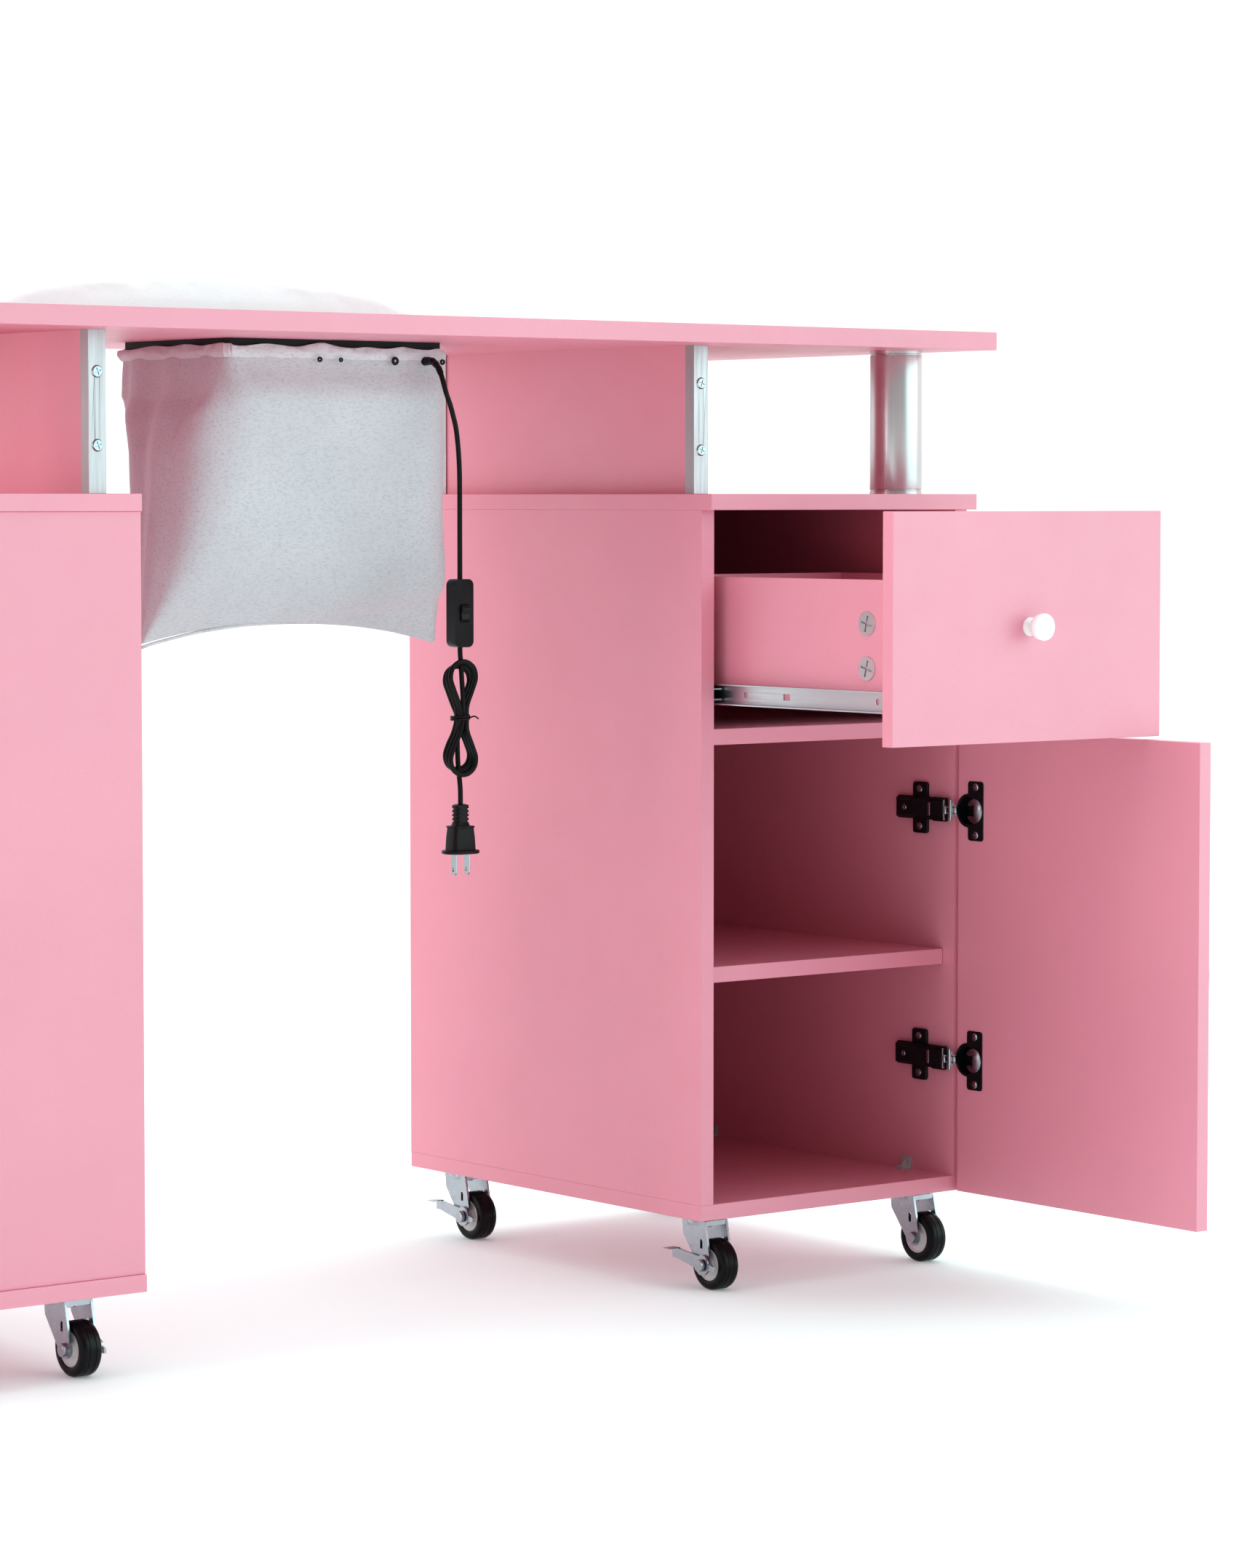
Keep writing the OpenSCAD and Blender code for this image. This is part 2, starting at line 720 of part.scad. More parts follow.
module cord_hank() {
  r = hank_w / 2;
  color(BLACK) translate([hang_x, hang_y + hank_t / 2, hank_top - hank_h]) rotate([90, 0, 0]) linear_extrude(hank_t) {
    translate([-r, r]) square([hank_w, hank_h - hank_w]);
    for (z = [r, hank_h - r]) translate([0, z]) circle(r = r);
  }
}

module cord_tail() {
  color(BLACK) tube([for (z = [hank_top - hank_h, 417, relief_top]) [hang_x, hang_y, z]], cord_d / 2, 10);
}

// Two-blade mains plug, hanging blades down
module plug() {
  blade_dx = 12.7 / 2;
  color(BLACK) translate([hang_x, hang_y, 0]) {
    translate([0, 0, plug_top]) cylinder(r1 = 5.5, r2 = 3.2, h = relief_top - plug_top);
    hull() {
      translate([-6, 0, flange_top]) cylinder(r = 7.5, h = plug_top - flange_top - 3);
      translate([6, 0, flange_top]) cylinder(r = 7.5, h = plug_top - flange_top - 3);
      translate([0, 0, plug_top - 1]) cylinder(r = 6, h = 1);
    }
    translate([0, 0, blade_top]) cylinder(r = 16, h = flange_top - blade_top + 0.01);
    for (i = [-1, 1]) translate([i * blade_dx, 0, 0]) difference() {
      span([-0.75, -3.2, blade_top - blade_len], [0.75, 3.2, blade_top + 1]);
      rod_x([-2, 0, blade_top - blade_len + 4], 1.6, 4);
    }
  }
}

// ---------- wrist cushion ----------

module wrist_cushion() {
  r = cushion_h / 2;
  slope = 70;
  color(WHITE) translate([vent_x, back_y - cushion_depth / 2 - 6, total_h + 0.3]) hull() {
    for (i = [-1, 1]) translate([i * (cushion_len / 2 - slope), 0, r]) rotate([90, 0, 0])
      cylinder(r = r, h = cushion_depth - 24, center = true, $fn = 32);
    span([-cushion_len / 2, -cushion_depth / 2, 0], [cushion_len / 2, cushion_depth / 2, 12]);
  }
}

// ---------- casters ----------

// Moves a caster part from its swivel's axis to its own place
module at_caster(i) {
  translate([CASTERS[i][0], CASTERS[i][1], 0]) children();
}

// Mounting plate, ball race and king pin, the parts that don't turn
module caster_plates() {
  color(STEEL) for (i = [0 : len(CASTERS) - 1]) at_caster(i) {
    difference() {
      span([-plate_w / 2, -plate_w / 2, caster_h - plate_t], [plate_w / 2, plate_w / 2, caster_h]);
      for (a = [-1, 1], b = [-1, 1]) translate([a * 15, b * 15, caster_h - plate_t - 1]) cylinder(r = 2, h = plate_t + 2);
    }
    translate([0, 0, race_z]) cylinder(r = race_r, h = caster_h - plate_t - race_z);
    translate([0, 0, crown_z - 1.6]) cylinder(r = king_r, h = race_z - crown_z + 1.7);
    translate([0, 0, crown_z - 2.4]) cylinder(r = king_r + 2, h = 2);
  }
}

// Side of the fork: from the crown down and forwards to the axle
module fork_leg() {
  crown_top = crown_z + crown_t;
  rotate([90, 0, 90]) linear_extrude(leg_t) {
    difference() {
      polygon([[-14.5, crown_top], [14.5, crown_top], [13, 44], [-trail + 6.4, axle_z - 3], [-trail - 6.6, axle_z - 2],
        [-trail - 7, axle_z + 6]]);
      translate([-trail + 3.5, 38]) square([3, 7.5], center = true);
    }
    translate([-trail, axle_z]) circle(r = 7);
  }
}

// Stamped fork that swivels under the race and holds the axle
module caster_fork(i) {
  brake = CASTERS[i][2];
  low_end = brake < 0 ? 6.5 : 3;
  high_end = brake > 0 ? 6.5 : 3;
  leg_out = leg_in + leg_t;
  color(STEEL) at_caster(i) {
    difference() {
      union() {
        translate([0, 0, crown_z]) cylinder(r = 14.5, h = crown_t);
        span([-leg_out, -14.5, crown_z], [leg_out, 14.5, crown_z + crown_t]);
      }
      translate([0, 0, crown_z - 1]) cylinder(r = king_r + running, h = crown_t + 2);
    }
    translate([leg_in, 0, 0]) fork_leg();
    translate([-leg_out, 0, 0]) fork_leg();
    rod_x([-leg_out - low_end, -trail, axle_z], axle_r, 2 * leg_out + low_end + high_end);
    rod_x([-leg_out - low_end, -trail, axle_z], 5, brake < 0 ? 3 : 2.9);
    rod_x([leg_out + high_end - 3, -trail, axle_z], 5, 3);
  }
}

// Rubber-tyred wheel with a grooved tread and dished sides
module caster_wheel(i) {
  r = wheel_d / 2;
  h = wheel_w / 2;
  dish = 2.5;
  color(BLACK) at_caster(i) translate([0, -trail, axle_z]) rotate([0, 90, 0]) rotate_extrude($fn = 72)
    polygon([[axle_r + running, -h], [6, -h], [7, -h + dish], [13, -h + dish], [14, -h + 0.5], [r - 3, -h], [r, -h + 3],
      [r, -0.6], [r - 0.6, 0], [r, 0.6], [r, h - 3], [r - 3, h], [14, h - 0.5], [13, h - dish], [7, h - dish], [6, h],
      [axle_r + running, h]]);
}

// Side lever that turns on the axle and clamps the wheel
module brake_lever(i) {
  turn = CASTERS[i][2];
  x0 = leg_in + leg_t + lever_gap;
  color(STEEL) at_caster(i) mirror([turn < 0 ? 1 : 0, 0, 0]) translate([x0, -trail, axle_z]) difference() {
    union() {
      rotate([90, 0, 90]) linear_extrude(lever_t) {
        circle(r = 8.5);
        polygon([[0, -5], [0, 6.5], [36, 11], [36, 3]]);
        polygon([[0, -4], [-15, -3.5], [-15, 0.5], [0, 4]]);
      }
      translate([0, 30, 3]) span([0, 0, -0.7], [12, 8, 8]);
    }
    rod_x([-1, 0, 0], axle_r + running, lever_t + 2);
    translate([lever_t, 28, 4.4]) span([0, 0, -5], [13, 11, 6]);
  }
}

desktop();
vent_grille();
fan_housing();
fan_rotor();
dust_bag();
riser_panels();
riser_channels();
channel_screws();
support_posts();
cabinet_tops();
cabinet_bottoms();
right_side_panels();
right_back_panel();
right_divider();
right_shelf();
left_upright_panels();
left_shelves();
shelf_pins();
corner_brackets();
slide_runners();
slide_ball_cages();
drawer_channels();
drawer_front();
drawer_box();
drawer_bottom();
drawer_cams();
drawer_knob();
door_panel();
door_knob();
hinge_cups();
hinge_arms();
cord_gland();
cord_drop();
switch_body();
switch_rocker();
cord_hank();
cord_tail();
plug();
wrist_cushion();
caster_plates();
caster_fork(0);  // fork_rf_knee
caster_fork(1);  // fork_rf_end
caster_fork(2);  // fork_rb_knee
caster_fork(3);  // fork_rb_end
caster_fork(4);  // fork_lf_knee
caster_fork(5);  // fork_lf_end
caster_fork(6);  // fork_lb_knee
caster_fork(7);  // fork_lb_end
caster_wheel(0);  // wheel_rf_knee
caster_wheel(1);  // wheel_rf_end
caster_wheel(2);  // wheel_rb_knee
caster_wheel(3);  // wheel_rb_end
caster_wheel(4);  // wheel_lf_knee
caster_wheel(5);  // wheel_lf_end
caster_wheel(6);  // wheel_lb_knee
caster_wheel(7);  // wheel_lb_end
brake_lever(0);  // brake_rf
brake_lever(2);  // brake_rb
brake_lever(4);  // brake_lf
brake_lever(6);  // brake_lb
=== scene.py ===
import math

import bmesh
import bpy
from mathutils import Matrix, Vector, noise


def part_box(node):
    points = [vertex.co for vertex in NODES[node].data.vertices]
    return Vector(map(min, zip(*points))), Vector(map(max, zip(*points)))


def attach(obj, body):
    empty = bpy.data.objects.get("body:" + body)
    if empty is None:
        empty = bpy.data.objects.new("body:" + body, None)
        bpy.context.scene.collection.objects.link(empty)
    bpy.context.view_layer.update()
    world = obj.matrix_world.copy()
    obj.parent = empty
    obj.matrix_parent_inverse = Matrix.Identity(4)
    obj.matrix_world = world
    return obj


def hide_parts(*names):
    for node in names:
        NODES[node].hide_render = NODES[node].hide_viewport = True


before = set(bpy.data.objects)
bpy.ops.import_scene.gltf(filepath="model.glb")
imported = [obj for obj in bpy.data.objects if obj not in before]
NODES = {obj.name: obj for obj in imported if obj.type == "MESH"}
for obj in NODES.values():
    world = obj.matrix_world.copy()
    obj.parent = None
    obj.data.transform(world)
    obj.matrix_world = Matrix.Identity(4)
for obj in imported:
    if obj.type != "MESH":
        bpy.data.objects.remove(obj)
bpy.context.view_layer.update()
MM = 0.001


# ---------- mesh helpers ----------

def mm(*p):
    return Vector(p) * MM


def new_object(name, verts, faces, mats, smooth=True, face_mats=None):
    mesh = bpy.data.meshes.new(name)
    mesh.from_pydata([tuple(v) for v in verts], [], faces)
    mesh.validate()
    bm = bmesh.new()
    bm.from_mesh(mesh)
    bmesh.ops.recalc_face_normals(bm, faces=bm.faces)
    bm.to_mesh(mesh)
    bm.free()
    for m in mats:
        mesh.materials.append(m)
    for i, p in enumerate(mesh.polygons):
        p.use_smooth = smooth
        if face_mats:
            p.material_index = face_mats[i]
    o = bpy.data.objects.new(name, mesh)
    bpy.context.scene.collection.objects.link(o)
    return o


def join(name, objects):
    """Applies the objects' modifiers and makes one object of their meshes."""
    deps = bpy.context.evaluated_depsgraph_get()
    bm, mats = bmesh.new(), []
    for o in objects:
        mesh = bpy.data.meshes.new_from_object(o.evaluated_get(deps))
        for m in mesh.materials:
            if m not in mats:
                mats.append(m)
        place = [mats.index(m) for m in mesh.materials]
        for p in mesh.polygons:
            p.material_index = place[p.material_index]
        bm.from_mesh(mesh)
        bpy.data.meshes.remove(mesh)
    for o in objects:
        bpy.data.objects.remove(o)
    mesh = bpy.data.meshes.new(name)
    bm.to_mesh(mesh)
    bm.free()
    for m in mats:
        mesh.materials.append(m)
    o = bpy.data.objects.new(name, mesh)
    bpy.context.scene.collection.objects.link(o)
    return o


def bevel(o, width, segments=2, angle=30, weld=False):
    if weld:
        w = o.modifiers.new("weld", "WELD")
        w.merge_threshold = 0.00001
    b = o.modifiers.new("bevel", "BEVEL")
    b.width = width * MM
    b.segments = segments
    b.limit_method = "ANGLE"
    b.angle_limit = math.radians(angle)
    b.harden_normals = False
    return o


def lathe(name, profile, at, axis="Z", steps=64, mats=(), bands=None, smooth_angle=35):
    """Turns (radius, height) pairs in mm about an axis through the point at. bands gives a material for
    each pair's stretch."""
    turn = {"Z": Matrix.Identity(3), "X": Matrix.Rotation(math.pi / 2, 3, "Y"),
            "-X": Matrix.Rotation(-math.pi / 2, 3, "Y"),
            "Y": Matrix.Rotation(-math.pi / 2, 3, "X"), "-Y": Matrix.Rotation(math.pi / 2, 3, "X")}[axis]
    verts, faces, kinds, rows = [], [], [], []
    for r, h in profile:
        if r < 1e-6:
            rows.append([len(verts)])
            verts.append(turn @ Vector((0, 0, h)))
        else:
            rows.append(list(range(len(verts), len(verts) + steps)))
            for k in range(steps):
                a = 2 * math.pi * k / steps
                verts.append(turn @ Vector((r * math.cos(a), r * math.sin(a), h)))
    for i in range(len(rows) - 1):
        a, b = rows[i], rows[i + 1]
        for k in range(steps):
            m = (k + 1) % steps
            if len(a) == 1 and len(b) == 1:
                continue
            if len(a) == 1:
                f = (a[0], b[k], b[m])
            elif len(b) == 1:
                f = (a[k], b[0], a[m])
            else:
                f = (a[k], b[k], b[m], a[m])
            faces.append(f)
            kinds.append(bands[i] if bands else 0)
    verts = [(v + Vector(at)) * MM for v in verts]
    o = new_object(name, verts, faces, mats, True, kinds)
    sharpen(o, smooth_angle)
    return o


def sharpen(o, angle=35):
    """Marks edges sharper than the angle so that smooth shading stops there."""
    bm = bmesh.new()
    bm.from_mesh(o.data)
    for e in bm.edges:
        if len(e.link_faces) == 2:
            e.smooth = e.calc_face_angle(0) < math.radians(angle)
    bm.to_mesh(o.data)
    bm.free()


def extrude(name, outline, depth, place, mats, bev=0.4, segments=2):
    """A flat outline in mm, thickened by depth, then placed by a 4x4 matrix in mm."""
    n = len(outline)
    verts = [place @ Vector((x, y, z)) * MM for z in (0, depth) for x, y in outline]
    sides = [(k, (k + 1) % n, n + (k + 1) % n, n + k) for k in range(n)]
    faces = [tuple(range(n)), tuple(range(2 * n - 1, n - 1, -1))] + sides
    o = new_object(name, verts, faces, mats, False)
    if bev:
        bevel(o, bev, segments)
    return o


def tube_faces(rings, cols, caps=False):
    """Quads between rings of cols points each. With caps, the first and the last ring are closed."""
    faces = [(j * cols + i, j * cols + (i + 1) % cols, (j + 1) * cols + (i + 1) % cols, (j + 1) * cols + i)
             for j in range(rings - 1) for i in range(cols)]
    if caps:
        faces += [tuple(range(cols)), tuple(reversed(range((rings - 1) * cols, rings * cols)))]
    return faces


def thicken(o, thickness, offset):
    s = o.modifiers.new("thickness", "SOLIDIFY")
    s.thickness = thickness * MM
    s.offset = offset


def soften(o):
    s = o.modifiers.new("smooth", "SUBSURF")
    s.levels = s.render_levels = 1


def cut_away(o, cutter):
    """Subtracts one solid from another and removes the cutter."""
    m = o.modifiers.new("cut", "BOOLEAN")
    m.operation = "DIFFERENCE"
    m.solver = "EXACT"
    m.object = cutter
    bpy.context.view_layer.objects.active = o
    bpy.ops.object.modifier_apply(modifier=m.name)
    bpy.data.objects.remove(cutter)
    return o


def rounded(w, h, r, steps=6):
    """Outline of a rounded rectangle about the origin."""
    pts = []
    for cx, cy, a0 in ((w / 2 - r, h / 2 - r, 0), (-w / 2 + r, h / 2 - r, 90), (-w / 2 + r, -h / 2 + r, 180),
                       (w / 2 - r, -h / 2 + r, 270)):
        for k in range(steps + 1):
            a = math.radians(a0 + 90 * k / steps)
            pts.append((cx + r * math.cos(a), cy + r * math.sin(a)))
    return pts


def frame_matrix(at, x, y):
    """A placing matrix whose columns are the outline's two directions and their normal."""
    x, y = Vector(x).normalized(), Vector(y).normalized()
    z = x.cross(y)
    m = Matrix((x, y, z)).transposed().to_4x4()
    m.translation = Vector(at)
    return m


def smooth_line(points, per=6):
    """Catmull-Rom points through the given ones."""
    p = [Vector(q) for q in points]
    p = [2 * p[0] - p[1]] + p + [2 * p[-1] - p[-2]]
    out = []
    for i in range(1, len(p) - 2):
        a, b, c, d = p[i - 1:i + 3]
        for k in range(per):
            t = k / per
            out.append(0.5 * (2 * b + (c - a) * t + (2 * a - 5 * b + 4 * c - d) * t * t
                              + (3 * b - a - 3 * c + d) * t ** 3))
    out.append(p[-2])
    return out


def add_line(data, points, radius=1.0):
    """Adds a spline along points in mm to a curve. radius is a share of the curve's own."""
    s = data.splines.new("POLY")
    s.points.add(len(points) - 1)
    for q, v in zip(s.points, points):
        q.co = (*(Vector(v) * MM), 1)
        q.radius = radius
    return s


def curve_piece(name, points, radius, material, resolution=6):
    """A round cord along points in mm."""
    data = bpy.data.curves.new(name, "CURVE")
    data.dimensions = "3D"
    data.bevel_depth = radius * MM
    data.bevel_resolution = resolution
    data.use_fill_caps = True
    add_line(data, points).use_smooth = True
    data.materials.append(material)
    o = bpy.data.objects.new(name, data)
    bpy.context.scene.collection.objects.link(o)
    return o


# ---------- materials ----------

class Nodes:
    """A material's node tree with short calls for the nodes used here."""

    def __init__(self, name):
        self.m = bpy.data.materials.new(name)
        self.m.use_nodes = True
        self.t = self.m.node_tree
        self.bsdf = self.t.nodes["Principled BSDF"]
        self.co = self.t.nodes.new("ShaderNodeTexCoord").outputs["Object"]

    def stretched(self, scale, turn=(0, 0, 0)):
        n = self.t.nodes.new("ShaderNodeMapping")
        n.inputs["Scale"].default_value = scale
        n.inputs["Rotation"].default_value = turn
        self.t.links.new(self.co, n.inputs["Vector"])
        return n.outputs[0]

    def noise(self, scale, detail=4, rough=0.55, co=None):
        n = self.t.nodes.new("ShaderNodeTexNoise")
        n.inputs["Scale"].default_value = scale
        n.inputs["Detail"].default_value = detail
        n.inputs["Roughness"].default_value = rough
        self.t.links.new(co or self.co, n.inputs["Vector"])
        return n.outputs["Fac"]

    def voronoi(self, scale):
        n = self.t.nodes.new("ShaderNodeTexVoronoi")
        n.feature = "F1"
        n.inputs["Scale"].default_value = scale
        self.t.links.new(self.co, n.inputs["Vector"])
        return n.outputs["Distance"]

    def remap(self, value, lo, hi, out_lo, out_hi):
        n = self.t.nodes.new("ShaderNodeMapRange")
        for k, v in zip(("From Min", "From Max", "To Min", "To Max"), (lo, hi, out_lo, out_hi)):
            n.inputs[k].default_value = v
        self.t.links.new(value, n.inputs["Value"])
        return n.outputs[0]

    def math(self, op, a, b):
        n = self.t.nodes.new("ShaderNodeMath")
        n.operation = op
        for k, v in enumerate((a, b)):
            if isinstance(v, (int, float)):
                n.inputs[k].default_value = v
            else:
                self.t.links.new(v, n.inputs[k])
        return n.outputs[0]

    def mix(self, fac, a, b):
        n = self.t.nodes.new("ShaderNodeMix")
        n.data_type = "RGBA"
        self.t.links.new(fac, n.inputs["Factor"])
        for key, v in (("A", a), ("B", b)):
            s = next(i for i in n.inputs if i.name == key and i.type == "RGBA")
            if isinstance(v, tuple):
                s.default_value = (*v, 1)
            else:
                self.t.links.new(v, s)
        return next(o for o in n.outputs if o.type == "RGBA")

    def bump(self, height, strength, distance, normal=None):
        n = self.t.nodes.new("ShaderNodeBump")
        n.inputs["Strength"].default_value = strength
        n.inputs["Distance"].default_value = distance
        self.t.links.new(height, n.inputs["Height"])
        if normal is not None:
            self.t.links.new(normal, n.inputs["Normal"])
        return n.outputs[0]

    def set(self, **values):
        for key, v in values.items():
            s = self.bsdf.inputs[key.replace("_", " ")]
            if isinstance(v, bpy.types.NodeSocket):
                self.t.links.new(v, s)
            elif isinstance(v, tuple) and len(v) == 3 and s.type == "RGBA":
                s.default_value = (*v, 1)
            else:
                s.default_value = v
        return self


def tint(c, f):
    return tuple(min(1, x * f) for x in c)


PINK = (0.80, 0.325, 0.41)


def laminate(name, colour, rough=0.42):
    """Melamine face: pale cloudy print, fine orange-peel grain and a satin sheen."""
    n = Nodes(name)
    cloud = n.noise(6, 3)
    fleck = n.noise(520, 2, 0.6)
    base = n.mix(n.remap(cloud, 0.3, 0.7, 0, 1), tint(colour, 0.97), tint(colour, 1.02))
    base = n.mix(n.remap(fleck, 0.46, 0.75, 0, 0.12), base, tint(colour, 0.82))
    peel = n.bump(n.noise(900, 2, 0.5), 0.12, 0.0003)
    n.set(Base_Color=base, Roughness=n.remap(n.noise(40, 3), 0.3, 0.7, rough - 0.04, rough + 0.05), Normal=peel,
          Specular_IOR_Level=0.75)
    return n.m


def metal(name, colour, rough, streak=None, spots=0.0):
    """Plated or brushed metal, with grain along the stretched direction and faint stains."""
    n = Nodes(name)
    grain = n.noise(1, 4, 0.6, n.stretched(streak or (260, 260, 260)))
    stain = n.noise(18, 3)
    base = n.mix(n.remap(stain, 0.35, 0.7, 0, 1), tint(colour, 1.0), tint(colour, 0.86 + 0.1 * (1 - spots)))
    n.set(Base_Color=base, Metallic=1.0, Roughness=n.remap(grain, 0.3, 0.75, rough * 0.75, rough * 1.3),
          Normal=n.bump(grain, 0.10, 0.0002))
    return n.m


def plastic(name, colour, rough, grain=700, depth=0.18, coat=0.0, shine=0.5):
    """Moulded plastic with a fine spark-eroded texture and slight handling marks."""
    n = Nodes(name)
    marks = n.noise(30, 4)
    base = n.mix(n.remap(marks, 0.35, 0.7, 0, 1), colour, tuple(min(1, c * 1.18 + 0.004) for c in colour))
    n.set(Base_Color=base, Roughness=n.remap(marks, 0.3, 0.7, rough - 0.04, rough + 0.06),
          Normal=n.bump(n.noise(grain, 3, 0.6), depth, 0.0002), Coat_Weight=coat, Specular_IOR_Level=shine)
    return n.m


def woven(name, colour):
    """Plain woven polyester: warp and weft threads, uneven yarn and a soft sheen."""
    n = Nodes(name)
    dashes = n.noise(1, 2, 0.5, n.stretched((260, 640, 640), (0, math.radians(38), 0)))
    yarn = n.voronoi(620)
    threads = n.math("MULTIPLY", n.remap(dashes, 0.35, 0.65, 0, 1), n.remap(yarn, 0.1, 0.6, 1, 0.4))
    cloud = n.noise(9, 4)
    base = n.mix(n.remap(cloud, 0.3, 0.72, 0, 1), tint(colour, 0.93), tint(colour, 1.04))
    base = n.mix(n.remap(threads, 0.15, 0.8, 0, 0.65), base, tint(colour, 0.74))
    n.set(Base_Color=base, Roughness=0.92, Sheen_Weight=0.25, Sheen_Roughness=0.5,
          Normal=n.bump(threads, 0.35, 0.0004, n.bump(n.noise(60, 4), 0.2, 0.0012)))
    return n.m


def leatherette(name, colour):
    """Soft coated fabric with pebbled grain."""
    n = Nodes(name)
    grain = n.voronoi(520)
    cloud = n.noise(7, 3)
    base = n.mix(n.remap(cloud, 0.3, 0.7, 0, 1), tint(colour, 0.97), tint(colour, 1.0))
    base = n.mix(n.remap(grain, 0.4, 0.9, 0, 0.25), base, tint(colour, 0.88))
    n.set(Base_Color=base, Roughness=n.remap(cloud, 0.3, 0.7, 0.40, 0.5), Sheen_Weight=0.1,
          Normal=n.bump(grain, 0.22, 0.0004, n.bump(n.noise(45, 4), 0.25, 0.0015)))
    return n.m


def rubber(name, colour, rough):
    """Moulded tyre rubber, with faint lighter dust in random patches."""
    n = Nodes(name)
    dust = n.noise(70, 5)
    base = n.mix(n.remap(dust, 0.45, 0.75, 0, 0.5), colour, (0.012, 0.012, 0.013))
    n.set(Base_Color=base, Roughness=n.remap(dust, 0.3, 0.75, rough - 0.05, rough + 0.15),
          Normal=n.bump(n.noise(900, 3), 0.15, 0.0002),
          Specular_IOR_Level=0.22)
    return n.m


def clear_plastic(name):
    n = Nodes(name)
    cloud = n.noise(120, 3)
    n.set(Base_Color=n.mix(n.remap(cloud, 0.3, 0.7, 0, 1), (0.78, 0.80, 0.82), (0.88, 0.9, 0.91)), Roughness=0.3,
          Transmission_Weight=0.45, Normal=n.bump(cloud, 0.1, 0.0003))
    return n.m


M = {
    "pink": laminate("pink_laminate", PINK),
    "white_board": laminate("white_board", (0.88, 0.86, 0.85), 0.5),
    "steel_grille": metal("grille_steel", (0.74, 0.75, 0.77), 0.34, (30, 900, 900)),
    "black": plastic("black_moulding", (0.010, 0.010, 0.011), 0.42, shine=0.25),
    "blade": plastic("fan_blades", (0.02, 0.02, 0.023), 0.36),
    "cloth": woven("bag_cloth", (0.63, 0.66, 0.685)),
    "hem": woven("bag_hem_cloth", (0.70, 0.71, 0.735)),
    "channel": metal("channel_aluminium", (0.49, 0.45, 0.465), 0.40, (700, 700, 20)),
    "screw": metal("screw_steel", (0.42, 0.44, 0.47), 0.22),
    "chrome": metal("chrome", (0.64, 0.61, 0.62), 0.30, (90, 90, 2)),
    "clear": clear_plastic("bracket_plastic"),
    "slide": metal("slide_steel", (0.62, 0.64, 0.66), 0.36, (600, 20, 600)),
    "knob": plastic("knob_white", (0.86, 0.85, 0.84), 0.16, 300, 0.05, coat=0.4),
    "hinge": plastic("hinge_black", (0.008, 0.008, 0.010), 0.25, 300, 0.04, shine=0.4),
    "hinge_steel": metal("hinge_steel", (0.66, 0.67, 0.70), 0.24, (600, 60, 60)),
    "hinge_grey": metal("hinge_grey", (0.30, 0.31, 0.33), 0.3, (300, 300, 300)),
    "cord": plastic("cord_black", (0.006, 0.006, 0.006), 0.42, 500, 0.1, shine=0.22),
    "switch": plastic("switch_black", (0.007, 0.007, 0.008), 0.34, shine=0.25),
    "plug": plastic("plug_black", (0.009, 0.007, 0.008), 0.38, shine=0.25),
    "leather": leatherette("cushion_leather", (0.80, 0.80, 0.81)),
    "zinc": metal("caster_zinc", (0.46, 0.48, 0.52), 0.28, (160, 160, 160), 1.0),
    "tyre": rubber("caster_rubber", (0.004, 0.004, 0.005), 0.26),
    "hub": plastic("caster_hub", (0.66, 0.66, 0.65), 0.45, 400),
    # near-black: painted shade of the drawstring holes in the hem
    "cavity": plastic("painted_hole_shade", (0.01, 0.01, 0.01), 0.7),
}


def piece(o, body, key, *replaced):
    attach(o, body)
    if replaced:
        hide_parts(*replaced)
    return o


# ---------- camera ----------

cam_data = bpy.data.cameras.new("camera")
cam_data.sensor_width = 36
cam_data.lens = 106.397
cam_data.clip_start, cam_data.clip_end = 0.05, 60
camera = bpy.data.objects.new("camera", cam_data)
camera.location = (-2.0941, -3.0739, 0.6488)
camera.rotation_euler = (math.radians(86.467), 0, math.radians(-38.35))
bpy.context.scene.collection.objects.link(camera)
bpy.context.scene.camera = camera


# ---------- mains cord ----------

HANG_X, HANG_Y = 86.0, -104.0
CORD_R = 2.0
SWITCH_LOW = 530.5
HANK_TOP, HANK_LOW = 521.0, 427.0
HANK_WAIST = (HANK_TOP + HANK_LOW) / 2
TIE_STEPS = 28
RELIEF_TOP, PLUG_TOP, FLANGE_TOP, BLADE_TOP, BLADE_LEN = 405.5, 388.5, 369.0, 366.0, 17.0
ROUTE = [
    (70, -83, 757), (70, -87, 757), (69.5, -91.5, 756.3), (69, -96, 754), (68.5, -100, 751),
    (68, -103.5, 747), (68, -106, 742), (69, -107.5, 735.5), (71, -108, 729), (74, -108, 722),
    (77, -107.5, 714), (80, -107, 705), (82.5, -106, 694), (84.5, -105, 681), (85.5, -104.5, 667),
    (86, -104, 652), (86, -104, 638), (86, -104, 624), (86, -104, 610), (86, -104, 597), (86, -104, 584.5),
]


